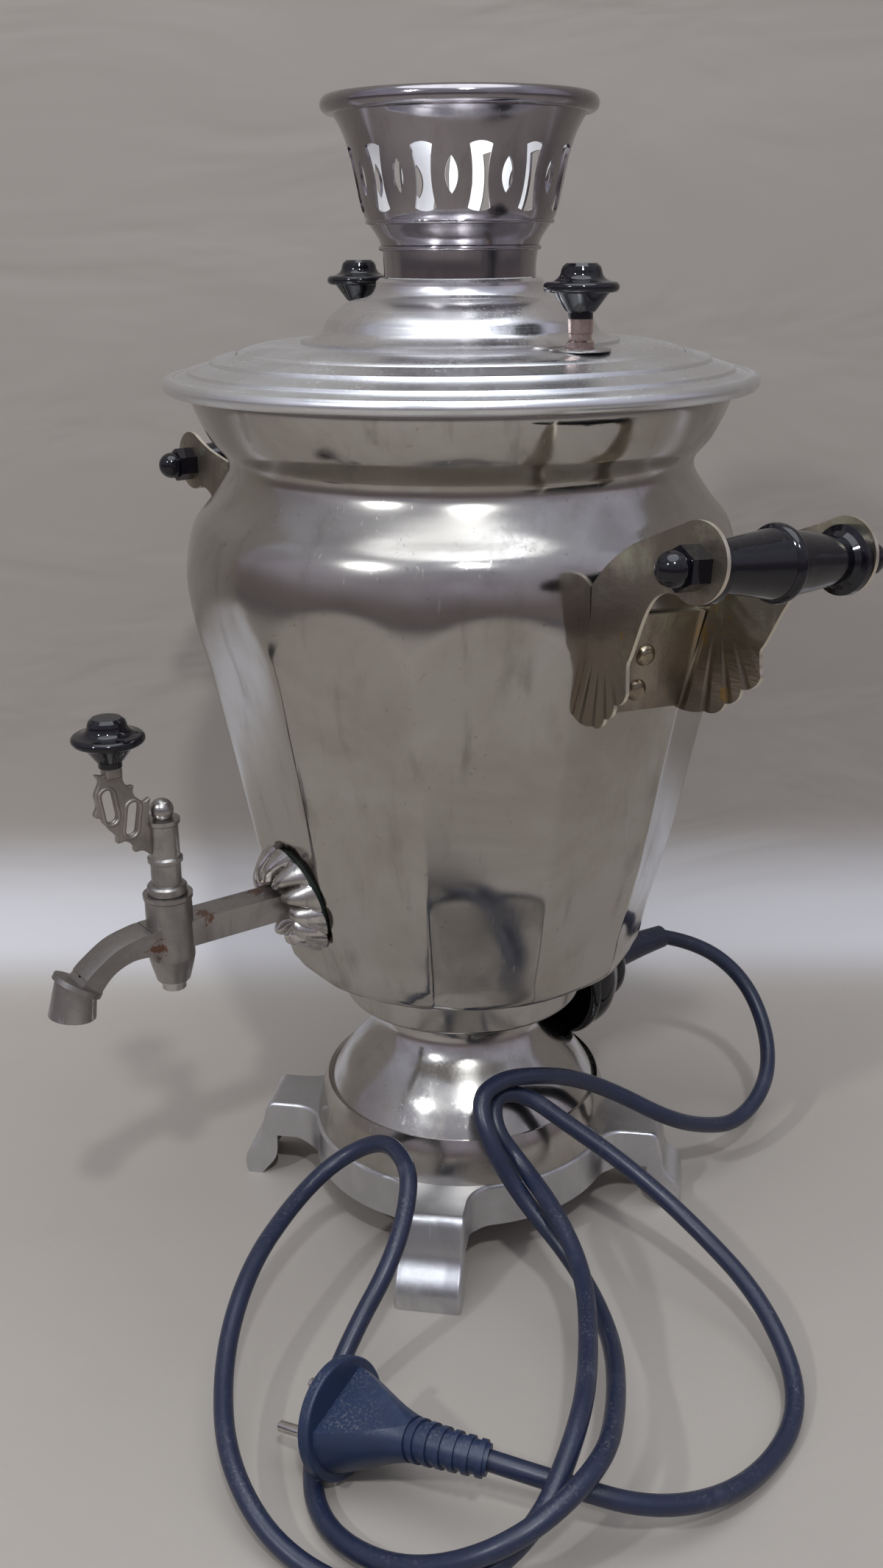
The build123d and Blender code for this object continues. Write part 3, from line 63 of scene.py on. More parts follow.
def flowing(points: tuple | list, steps: int) -> list[Point]:
    """Run a smooth line through points.

    Args:
        points: the points that the line passes.
        steps: how many short pieces each stretch gets.

    Returns:
        The points of the smooth line.
    """
    ends = [points[0], *points, points[-1]]
    line = []
    for before, start, end, after in zip(ends, ends[1:], ends[2:], ends[3:]):
        for step in range(steps):
            t = step / steps
            weights = (-t + 2 * t * t - t ** 3, 2 - 5 * t * t + 3 * t ** 3,
                       t + 4 * t * t - 3 * t ** 3, -t * t + t ** 3)
            line.append(tuple(sum(w * p[k] for w, p in zip(weights, (before, start, end, after))) / 2
                              for k in range(2)))
    return [*line, points[-1]]


def arc(centre: Point, radius: float, start: float, end: float, steps: int = 8) -> list[Point]:
    """Return the points of an arc, whose angles are in degrees from the first axis."""
    turns = [radians(start + (end - start) * step / steps) for step in range(steps + 1)]
    return [(centre[0] + radius * cos(turn), centre[1] + radius * sin(turn)) for turn in turns]


# ---- node trees
class Sheet:
    """A node tree under construction, with short calls that add nodes and join them."""

    def __init__(self, tree: NodeTree) -> None:
        """Keep the tree that the nodes go into."""
        self.tree = tree

    def node(self, kind: str, sockets: dict | None = None, **settings: object) -> Node:
        """Add a node.

        Args:
            kind: the node's type.
            sockets: values or other nodes' outputs, by input name or number.
            settings: the node's own options.

        Returns:
            The new node.
        """
        made = self.tree.nodes.new(kind)
        for key, value in settings.items():
            setattr(made, key, value)
        for key, value in (sockets or {}).items():
            if isinstance(value, NodeSocket):
                self.join(value, made.inputs[key])
            else:
                made.inputs[key].default_value = value
        return made

    def join(self, source: object, target: NodeSocket) -> None:
        """Link an output to an input."""
        self.tree.links.new(source, target)

    def group(self, tree: NodeTree, vector: object, **values: float) -> object:
        """Return the outputs of a shared group, used at the given coordinates."""
        return self.node("ShaderNodeGroup", {"Vector": vector, **values}, node_tree=tree).outputs

    def math(self, operation: str, first: object, second: object = 0.5, clamp: bool = False) -> object:
        """Return the outcome of an operation on two values."""
        sockets = {0: first, 1: second}
        return self.node("ShaderNodeMath", sockets, operation=operation, use_clamp=clamp).outputs[0]

    def times(self, first: object, second: object) -> object:
        """Return the product of two values."""
        return self.math("MULTIPLY", first, second)

    def plus(self, first: object, second: object, clamp: bool = False) -> object:
        """Return the sum of two values, which a clamp holds between 0 and 1."""
        return self.math("ADD", first, second, clamp)

    def parts(self, vector: object) -> object:
        """Return the three parts of a vector."""
        return self.node("ShaderNodeSeparateXYZ", {0: vector}).outputs

    def measure(self, operation: str, first: object, second: object = (0, 0, 0)) -> object:
        """Return a length, a distance or a dot product of vectors."""
        return self.node("ShaderNodeVectorMath", {0: first, 1: second}, operation=operation).outputs["Value"]

    def facing(self) -> object:
        """Return the way that the surface looks."""
        return self.node("ShaderNodeNewGeometry").outputs["Normal"]

    def bump(self, strength: float, depth: float, height: object) -> Node:
        """Return a node that turns a height into a slope of the surface."""
        return self.node("ShaderNodeBump", {"Strength": strength, "Distance": depth, "Height": height})

    def span(self, value: object, low: float, high: float, start: float = 0, end: float = 1) -> object:
        """Return a value carried from one range to another, smoothly and held at its ends."""
        return self.node("ShaderNodeMapRange", {0: value, 1: low, 2: high, 3: start, 4: end},
                         interpolation_type="SMOOTHSTEP").outputs[0]

    def noise(self, vector: object, scale: object, detail: float = 4, roughness: float = 0.55,
              distortion: float = 0) -> object:
        """Return cloudy noise about 0.5."""
        sockets = {"Vector": vector, "Scale": scale, "Detail": detail, "Roughness": roughness,
                   "Distortion": distortion}
        return self.node("ShaderNodeTexNoise", sockets).outputs[0]

    def stretch(self, vector: object, scale: tuple, turn: tuple = (0, 0, 0),
                shift: tuple = (0, 0, 0)) -> object:
        """Return coordinates moved, turned and scaled."""
        return self.node("ShaderNodeMapping", {"Vector": vector, "Location": shift, "Rotation": turn,
                                               "Scale": scale}).outputs[0]

    def mix(self, share: object, first: object, second: object) -> object:
        """Return two colours mixed by a share."""
        colours = [value if isinstance(value, NodeSocket) else (*value, 1) for value in (first, second)]
        sockets = {0: share, 6: colours[0], 7: colours[1]}
        return self.node("ShaderNodeMix", sockets, data_type="RGBA").outputs[2]

    def give(self, **values: object) -> NodeTree:
        """Return this node group, which gives the values as its outputs."""
        for label in values:
            self.tree.interface.new_socket(label, in_out="OUTPUT", socket_type="NodeSocketFloat")
        self.node("NodeGroupOutput", values)
        return self.tree


def new_group(name: str, *values: str) -> tuple:
    """Start a shared node group that takes coordinates and some values.

    Args:
        name: the group's name.
        values: the names of its values.

    Returns:
        The group's sheet, the coordinates and each value.
    """
    tree = bpy.data.node_groups.new(name, "ShaderNodeTree")
    tree.interface.new_socket("Vector", in_out="INPUT", socket_type="NodeSocketVector")
    for label in values:
        tree.interface.new_socket(label, in_out="INPUT", socket_type="NodeSocketFloat")
    given = tree.nodes.new("NodeGroupInput").outputs
    return Sheet(tree), *(given[label] for label in ("Vector", *values))


def darker(colour: tuple, share: float) -> tuple:
    """Return a colour with only a share of its light."""
    return tuple(value * share for value in colour)


class Effects:
    """The surface effects that several finishes share, each a node group built once."""

    def __init__(self) -> None:
        """Build the groups."""
        self.tarnish = self.build_tarnish()
        self.turned = self.build_turned()
        self.hairlines = self.build_hairlines()
        self.dust = self.build_dust()

    def build_tarnish(self) -> NodeTree:
        """Return the group for cloudy haze, streaks that run down, and small pits."""
        sheet, where, size = new_group("tarnish", "Clouds")
        clouds = sheet.noise(where, size, 6, 0.62, 0.6)
        runs = sheet.noise(sheet.stretch(where, (1, 1, 0.16)), sheet.times(size, 7.0), 4, 0.6, 0.3)
        grains = sheet.noise(where, sheet.times(size, 34.0), 3, 0.6)
        return sheet.give(Haze=sheet.span(clouds, 0.38, 0.66), Streaks=sheet.span(runs, 0.52, 0.78),
                          Pits=sheet.span(grains, 0.66, 0.76))

    def build_turned(self) -> NodeTree:
        """Return the group for the fine rings that spinning leaves round the upright axis."""
        sheet, where, pitch = new_group("turned_rings", "Pitch")
        along = sheet.plus(sheet.measure("LENGTH", sheet.stretch(where, (1, 1, 0))), sheet.parts(where)[2])
        sockets = {"W": along, "Scale": pitch, "Detail": 5.0, "Roughness": 0.7}
        rings = sheet.node("ShaderNodeTexNoise", sockets, noise_dimensions="1D").outputs[0]
        return sheet.give(Height=rings, Lines=sheet.span(rings, 0.4, 0.7))

    def build_hairlines(self) -> NodeTree:
        """Return the group for fine scratches in two directions."""
        sheet, where, fineness = new_group("hairlines", "Fineness")
        fields = [sheet.noise(sheet.stretch(where, (1, 1, 0.03), turn), fineness, 2, 0.5, 0.2)
                  for turn in ((0.5, 0.3, 0.9), (1.7, 2.3, 0.2))]
        both = sheet.math("MAXIMUM", *fields)
        return sheet.give(Height=both, Lines=sheet.span(both, 0.68, 0.78))

    def build_dust(self) -> NodeTree:
        """Return the group for dust that lies on faces that look up."""
        sheet, where = new_group("settled_dust")
        up = sheet.parts(sheet.facing())[2]
        specks = sheet.span(sheet.noise(where, 900.0, 3, 0.7), 0.5, 0.75)
        clouds = sheet.span(sheet.noise(where, 45.0, 3), 0.4, 0.7)
        return sheet.give(Dust=sheet.times(sheet.times(sheet.span(up, 0.3, 0.95), specks), clouds))


class Grain(Enum):
    """What the maker's tool left on a metal surface."""

    POLISHED = "polished"
    TURNED = "turned"
    CAST = "cast"
    ROLLED = "rolled"


def start_material(name: str, **plain: object) -> tuple[Sheet, Node, object, Material]:
    """Start a material.

    Args:
        name: the material's name.
        plain: values of the shader's sockets that are the same all over, with _ for a space.

    Returns:
        The sheet, the shader, coordinates about the tank's axis and the material.
    """
    material = bpy.data.materials.new(name)
    material.use_nodes = True
    material.node_tree.nodes.clear()
    sheet = Sheet(material.node_tree)
    shader = sheet.node("ShaderNodeBsdfPrincipled",
                        {label.replace("_", " "): value for label, value in plain.items()})
    sheet.node("ShaderNodeOutputMaterial", {"Surface": shader.outputs[0]})
    own = sheet.node("ShaderNodeTexCoord").outputs["Object"]
    return sheet, shader, sheet.stretch(own, (1, 1, 1), shift=(0, -AXIS_Y, 0)), material


@dataclass(frozen=True)
class Flutes:
    """The flutes that fan out to the scallops of a handle's ears, in metres and radians."""

    centre: Point = (0.113, 0.288)
    half_pitch: float = 0.109
    half_width: float = 0.05
    top: Point = (0.2555, 0.272)
    depth: float = 9.0
    # how strongly painted shade darkens the flutes' grooves
    shade: float = 0.55
    patina: tuple = (0.40, 0.42, 0.30)
    patina_foot: Point = (0.262, 0.285)
    patina_share: float = 0.5
    # the colour, the place and the share of the painted highlight along the ears' cut edges
    rim: tuple = (0.80, 0.74, 0.62)
    edge_highlight_reach: Point = (0.0215, 0.0235)
    edge_highlight_share: float = 0.8

    def draw(self, sheet: Sheet, where: object, colour: object, dark: tuple) -> tuple[object, object]:
        """Draw the flutes with painted shade in their grooves, the patina above them and a painted highlight
        along the ears' cut edge.

        Args:
            sheet: the material's sheet.
            where: coordinates about the tank's axis.
            colour: the colour so far.
            dark: the colour of the painted shade in the flutes.

        Returns:
            The new colour, and the mask of the flutes.
        """
        parts = sheet.parts(where)
        out = sheet.math("SUBTRACT", sheet.math("ABSOLUTE", parts[0]), self.centre[0])
        fan = sheet.math("ARCTAN2", out, sheet.math("SUBTRACT", self.centre[1], parts[2]))
        ripple = sheet.math("PINGPONG", fan, self.half_pitch)
        groove = sheet.times(sheet.span(ripple, 0, self.half_width, 1, 0),
                             sheet.span(parts[2], *self.top, 1, 0))
        # painted shade: the grooves are darkened towards the dark colour, beside their bump
        colour = sheet.mix(sheet.times(groove, self.shade), colour, dark)
        cloudy = sheet.span(sheet.noise(where, 55.0, 7, 0.72), 0.5, 0.62)
        cloudy = sheet.times(cloudy, sheet.span(parts[2], *self.patina_foot))
        colour = sheet.mix(sheet.times(cloudy, self.patina_share), colour, self.patina)
        # painted highlight: a cream band on the ears' cut edges, which face sideways
        sideways = sheet.math("ABSOLUTE", sheet.parts(sheet.facing())[1])
        edge = sheet.times(sheet.span(sideways, 0.2, 0.5, 1, 0),
                           sheet.span(sheet.math("ABSOLUTE", parts[1]), *self.edge_highlight_reach))
        return sheet.mix(sheet.times(edge, self.edge_highlight_share), colour, self.rim), groove


@dataclass(frozen=True)
class MetalFinish:
    """A metal surface with haze, streaks, pits, scratches and its maker's grain."""

    name: str
    bright: tuple
    dull: tuple
    dark: tuple
    gloss: float
    haze: float
    grain: Grain = Grain.POLISHED
    clouds: float = 9.0
    streaks: float = 0.35
    pits: float = 0.3
    under: tuple = (0.50, 0.34, 0.16)
    worn: float = 0.0
    relief: float = 0.1
    waves: float = 0.0
    wave_scale: float = 16.0
    spots: tuple = ()
    spot_edge: float = 0.003
    flutes: Flutes | None = None
    inside: tuple | None = None
    scratches: float = 420.0
    depth: float = 0.00025

    def stain(self, sheet: Sheet, where: object, colour: object) -> object:
        """Return the colour with a ragged stain at each of the named spots."""
        clouded = sheet.noise(where, 300.0, 4, 0.7)
        for *centre, size in self.spots:
            gap = sheet.measure("DISTANCE", where, [value * MM for value in centre])
            ragged = sheet.plus(gap, sheet.span(clouded, 0.3, 0.7, -self.spot_edge, self.spot_edge))
            colour = sheet.mix(sheet.span(ragged, size * 0.5 * MM, size * MM, 0.85, 0), colour, self.under)
        return colour

    def mark(self, sheet: Sheet, effects: Effects, where: object, height: object,
             rough: object) -> tuple[object, object]:
        """Return the height and the roughness with the marks of the maker's tool."""
        if self.grain is Grain.TURNED:
            rings = sheet.group(effects.turned, where, Pitch=1400.0)
            return sheet.plus(height, rings["Height"]), sheet.plus(rough, sheet.times(rings["Lines"], 0.07))
        if self.grain is Grain.CAST:
            return sheet.plus(height, sheet.times(sheet.noise(where, 260.0, 4, 0.6), 2.5)), rough
        if self.grain is Grain.ROLLED:
            return sheet.plus(height, sheet.noise(sheet.stretch(where, (0.06, 1, 1)), 900.0, 3)), rough
        return height, rough

    def build(self, effects: Effects) -> Material:
        """Make the material.

        Args:
            effects: the shared groups.

        Returns:
            The new material.
        """
        sheet, shader, where, material = start_material(self.name, Metallic=1.0)
        marks = sheet.group(effects.tarnish, where, Clouds=self.clouds)
        hair = sheet.group(effects.hairlines, where, Fineness=self.scratches)
        dust = sheet.group(effects.dust, where)["Dust"]
        haze, streaks, pits = (marks[label] for label in ("Haze", "Streaks", "Pits"))
        colour = sheet.mix(haze, self.bright, self.dull)
        for mask, strength in ((streaks, self.streaks), (pits, self.pits)):
            colour = sheet.mix(sheet.times(mask, strength), colour, self.dark)
        if self.worn:
            bald = sheet.span(sheet.noise(where, 60.0, 5, 0.65), 0.62 - self.worn * 0.2, 0.7)
            colour = sheet.mix(bald, colour, self.under)
        if self.spots:
            colour = self.stain(sheet, where, colour)
        rough = sheet.plus(sheet.span(haze, 0, 1, self.gloss, self.haze), sheet.times(hair["Lines"], 0.12))
        rough = sheet.plus(rough, sheet.times(streaks, 0.08))
        rough = sheet.plus(rough, sheet.times(dust, 0.3), clamp=True)
        height = sheet.times(hair["Height"], 0.35)
        if self.flutes:
            colour, groove = self.flutes.draw(sheet, where, colour, self.dark)
            height = sheet.math("SUBTRACT", height, sheet.times(groove, self.flutes.depth))
        if self.inside:
            outward = sheet.measure("DOT_PRODUCT", sheet.stretch(where, (1, 1, 0)), sheet.facing())
            within = sheet.span(outward, -0.012, -0.004, 1, 0)
            colour = sheet.mix(within, colour, self.inside)
            rough = sheet.plus(rough, sheet.times(within, 0.35), clamp=True)
        height, rough = self.mark(sheet, effects, where, height, rough)
        sheet.join(colour, shader.inputs["Base Color"])
        sheet.join(rough, shader.inputs["Roughness"])
        fine = sheet.bump(self.relief, self.depth, height)
        if self.waves:
            broad = sheet.bump(1.0, self.waves, sheet.noise(where, self.wave_scale, 2, 0.4))
            sheet.join(broad.outputs[0], fine.inputs["Normal"])
        sheet.join(fine.outputs[0], shader.inputs["Normal"])
        return material


@dataclass(frozen=True)
class MouldedFinish:
    """Moulded rubber, plastic or ceramic, with fine texture, scuffs and dust."""

    name: str
    colour: tuple
    scuff: tuple
    gloss: float
    dusty: float = 0.35
    scuffs: float = 0.2
    bite: float = 0.15
    fineness: float = 1500.0
    scratches: float = 500.0
    depth: float = 0.0002
    dust: tuple = (0.42, 0.40, 0.38)

    def build(self, effects: Effects) -> Material:
        """Make the material.

        Args:
            effects: the shared groups.

        Returns:
            The new material.
        """
        sheet, shader, where, material = start_material(self.name, Metallic=0.0)
        dust = sheet.group(effects.dust, where)["Dust"]
        lines = sheet.group(effects.hairlines, where, Fineness=self.scratches)["Lines"]
        patches = sheet.span(sheet.noise(where, 38.0, 6, 0.7), 0.55, 0.74)
        rubbed = sheet.times(patches, self.scuffs)
        tone = sheet.span(sheet.noise(where, 120.0, 4), 0.3, 0.7, 0, 0.35)
        colour = sheet.mix(tone, self.colour, darker(self.colour, 0.6))
        colour = sheet.mix(rubbed, colour, self.scuff)
        colour = sheet.mix(sheet.times(lines, self.scuffs * 0.5), colour, self.scuff)
        colour = sheet.mix(sheet.times(dust, self.dusty), colour, self.dust)
        rough = sheet.plus(sheet.span(tone, 0, 0.35, self.gloss, self.gloss + 0.06),
                           sheet.times(rubbed, 0.4), clamp=True)
        sheet.join(colour, shader.inputs["Base Color"])
        sheet.join(rough, shader.inputs["Roughness"])
        slope = sheet.bump(self.bite, self.depth, sheet.noise(where, self.fineness, 3, 0.6))
        sheet.join(slope.outputs[0], shader.inputs["Normal"])
        return material


WARM_NICKEL = {"bright": (0.475, 0.455, 0.43), "dull": (0.37, 0.345, 0.31), "dark": (0.13, 0.11, 0.09)}
FINISHES = (
    MetalFinish("tank_nickel", **WARM_NICKEL, gloss=0.09, haze=0.22, clouds=11, streaks=0.4, pits=0.4,
        waves=0.0011),
    MetalFinish("foot_nickel", **WARM_NICKEL, gloss=0.14, haze=0.28, clouds=16, streaks=0.3, pits=0.5,
        waves=0.0004),
    MetalFinish("base_nickel", (0.62, 0.62, 0.64), (0.54, 0.535, 0.545), (0.26, 0.23, 0.22), 0.3, 0.42,
        clouds=18, streaks=0.2, pits=0.35, relief=0.15),
    MetalFinish("crown_nickel", (0.33, 0.305, 0.32), (0.27, 0.245, 0.255), (0.14, 0.1, 0.1), 0.1, 0.2,
        clouds=20, streaks=0.3, waves=0.0003, inside=(0.8, 0.79, 0.78)),
    MetalFinish("spun_aluminium", (0.76, 0.765, 0.775), (0.66, 0.66, 0.66), (0.4, 0.38, 0.36), 0.26, 0.38,
        Grain.TURNED, clouds=12, streaks=0.2, pits=0.25, relief=0.04),
    MetalFinish("dome_nickel", (0.7, 0.69, 0.695), (0.61, 0.595, 0.59), (0.3, 0.27, 0.25), 0.2, 0.32,
        Grain.TURNED, clouds=14, streaks=0.3, relief=0.03),
    MetalFinish("tap_nickel", (0.38, 0.36, 0.345), (0.28, 0.26, 0.245), (0.1, 0.08, 0.07), 0.28, 0.42,
        Grain.CAST, clouds=38, streaks=0.3, pits=0.5, under=(0.17, 0.075, 0.04), relief=0.2,
        spots=((5, -144, 156.5, 4.0), (3, -123, 165, 4.0), (-5, -96, 163, 5.0))),
    MetalFinish("lever_nickel", (0.36, 0.33, 0.3), (0.28, 0.255, 0.23), (0.12, 0.1, 0.08), 0.42, 0.56,
        Grain.CAST, clouds=60, streaks=0.3, pits=0.5, relief=0.08),
    MetalFinish("rosette_nickel", (0.6, 0.575, 0.555), (0.42, 0.395, 0.365), (0.1, 0.085, 0.07), 0.16, 0.3,
        Grain.CAST, clouds=55, streaks=0.4, pits=0.6, relief=0.2),
    MetalFinish("aged_brass", (0.33, 0.285, 0.23), (0.215, 0.185, 0.15), (0.085, 0.065, 0.045), 0.28, 0.48,
        Grain.ROLLED, clouds=22, streaks=0.4, pits=0.4, under=(0.4, 0.26, 0.09), worn=0.06, relief=0.3,
        flutes=Flutes()),
    MetalFinish("hidden_brass", (0.62, 0.5, 0.28), (0.5, 0.4, 0.22), (0.2, 0.15, 0.08), 0.25, 0.4, Grain.CAST,
        clouds=30),
    MetalFinish("copper", (0.62, 0.5, 0.46), (0.5, 0.39, 0.35), (0.22, 0.14, 0.12), 0.16, 0.3, Grain.TURNED,
        clouds=70),
    MetalFinish("zinc_steel", (0.5, 0.48, 0.47), (0.4, 0.375, 0.36), (0.16, 0.14, 0.12), 0.25, 0.4,
        Grain.ROLLED, clouds=40),
    MetalFinish("rivet_brass", (0.34, 0.28, 0.2), (0.24, 0.2, 0.15), (0.09, 0.07, 0.05), 0.24, 0.4,
        Grain.CAST, clouds=90, relief=0.2),
    MetalFinish("pin_steel", (0.6, 0.57, 0.53), (0.48, 0.445, 0.4), (0.2, 0.16, 0.12), 0.2, 0.34,
        Grain.ROLLED, clouds=80, streaks=0.5),
    MetalFinish("heater_steel", (0.45, 0.44, 0.43), (0.33, 0.31, 0.29), (0.6, 0.57, 0.5), 0.3, 0.5,
        Grain.ROLLED, clouds=35, streaks=0.8, pits=0.9),
    MouldedFinish("black_bakelite", (0.004, 0.0035, 0.0065), (0.045, 0.045, 0.055), 0.06, scuffs=0.06,
        bite=0.015, dusty=0.1),
    MouldedFinish("cord_rubber", (0.013, 0.019, 0.045), (0.26, 0.28, 0.34), 0.33, scuffs=0.1, bite=0.25,
        dusty=0.22),
    MouldedFinish("plug_rubber", (0.012, 0.024, 0.062), (0.13, 0.16, 0.24), 0.4, scuffs=0.12, bite=0.3),
    MouldedFinish("seal_rubber", (0.02, 0.034, 0.028), (0.16, 0.2, 0.18), 0.55, scuffs=0.3, bite=0.5),
    MouldedFinish("ceramic", (0.72, 0.69, 0.6), (0.5, 0.45, 0.38), 0.5, bite=0.3),
    MouldedFinish("lead_sleeve", (0.62, 0.58, 0.52), (0.4, 0.35, 0.3), 0.6, bite=0.5, fineness=2500.0),
)

PLAIN_NODES = {
    "base_nickel": "base",
    "spun_aluminium": "top_ring lid_plate",
    "dome_nickel": "lid_dome",
    "crown_nickel": "crown",
    "tap_nickel": "tap_body tap_key",
    "aged_brass": "right_handle_bracket left_handle_bracket",
    "rivet_brass": "right_bracket_rivets left_bracket_rivets",
    "hidden_brass": "tank_floor heater_nuts tap_nut",
    "copper": "right_lid_stud left_lid_stud",
    "zinc_steel": "bottom_cover tie_rod tie_washer tie_nut lid_nuts tap_key_nut "
                  "right_handle_rod left_handle_rod",
    "heater_steel": "heating_element",
    "pin_steel": "plug_pins",
    "black_bakelite": "inlet_housing tap_knob right_lid_knob left_lid_knob right_handle_grip "
                      "left_handle_grip right_acorn_nuts left_acorn_nuts",
    "cord_rubber": "cord_boot",
    "plug_rubber": "plug_body plug_relief",
    "seal_rubber": "heater_seals inlet_bush tap_gasket tap_washer",
    "ceramic": "terminal_block",
    "lead_sleeve": "internal_leads",
}


class Palette:
    """Every finish of the samovar, by its name."""

    def __init__(self) -> None:
        """Build the finishes, and give theirs to the frame's nodes that are shown as they are."""
        effects = Effects()
        self.made = {finish.name: finish.build(effects) for finish in FINISHES}
        for name, nodes in PLAIN_NODES.items():
            for node in nodes.split():
                self.dress(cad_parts[node], name)

    def dress(self, piece: Object, name: str) -> None:
        """Give a piece one finish in place of all that it had."""
        piece.data.materials.clear()
        piece.data.materials.append(self.made[name])


# ---- pieces
def add_object(name: str, data: object) -> Object:
    """Return a new object of the scene that shows the data."""
    made = bpy.data.objects.new(name, data)
    bpy.context.scene.collection.objects.link(made)
    return made


def boundary(mesh: BMesh) -> list:
    """Return the edges of a bmesh that only one face uses."""
    return [edge for edge in mesh.edges if len(edge.link_faces) == 1]


def only(kind: type, parts: list) -> list:
    """Return the vertices, or the edges, among the parts of a bmesh."""
    return [part for part in parts if isinstance(part, kind)]


def finish_piece(name: str, mesh: BMesh, crease: float = 32.0) -> Object:
    """Turn a bmesh into a smooth-shaded object whose sharp edges stay sharp.

    Args:
        name: the new object's name.
        mesh: the bmesh, which is freed.
        crease: the angle in degrees above which an edge is sharp.

    Returns:
        The new object, at the origin.
    """
    bmesh.ops.remove_doubles(mesh, verts=mesh.verts, dist=1e-6)
    bmesh.ops.recalc_face_normals(mesh, faces=mesh.faces)
    for face in mesh.faces:
        face.smooth = True
    for edge in mesh.edges:
        if len(edge.link_faces) == 2 and edge.calc_face_angle(0) > radians(crease):
            edge.smooth = False
    data = bpy.data.meshes.new(name)
    mesh.to_mesh(data)
    mesh.free()
    return add_object(name, data)


def add_line(mesh: BMesh, points: list[Vector], closed: bool) -> list:
    """Add a run of edges to a bmesh and return its vertices and edges."""
    corners = [mesh.verts.new(point) for point in points]
    ends = corners[1:] + corners[:1] if closed else corners[1:]
    return [*corners, *(mesh.edges.new(pair) for pair in zip(corners, ends))]


def spun(profile: list[Point], steps: int = 192, closed: bool = True, aside: float = 0) -> BMesh:
    """Spin a profile round an upright axis.

    Args:
        profile: radius and height of each point, in millimetres.
        steps: how many stretches the full turn has.
        closed: whether the profile's last point joins its first.
        aside: how far to the tank's right the axis stands, in millimetres.

    Returns:
        The bmesh of the turned form.
    """
    mesh = bmesh.new()
    line = add_line(mesh, [place(aside + r, 0, z) for r, z in profile], closed)
    bmesh.ops.spin(mesh, geom=line, cent=place(aside, 0, 0), axis=(0, 0, 1), angle=2 * pi, steps=steps,
                   use_merge=True, use_duplicate=False)
    return mesh


@dataclass
class Builder:
    """What every sub-assembly needs: the palette, and a way to hand a piece over."""

    palette: Palette

    def hand_over(self, piece: Object, finish: str, slot: str, body: str = "root",
                  replaced: tuple[str, ...] = ()) -> Object:
        """Dress a piece, hang it on its body and hide the frame's nodes that it stands for.

        Args:
            piece: the finished piece.
            finish: the palette's name of its finish.
            slot: not used.
            body: the body that it rides on.
            replaced: the frame's nodes that it stands for.

        Returns:
            The same piece.
        """
        self.palette.dress(piece, finish)
        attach(piece, body)
        if replaced:
            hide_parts(*replaced)
        LOG.info("%s rides on %s", piece.name, body)
        return piece


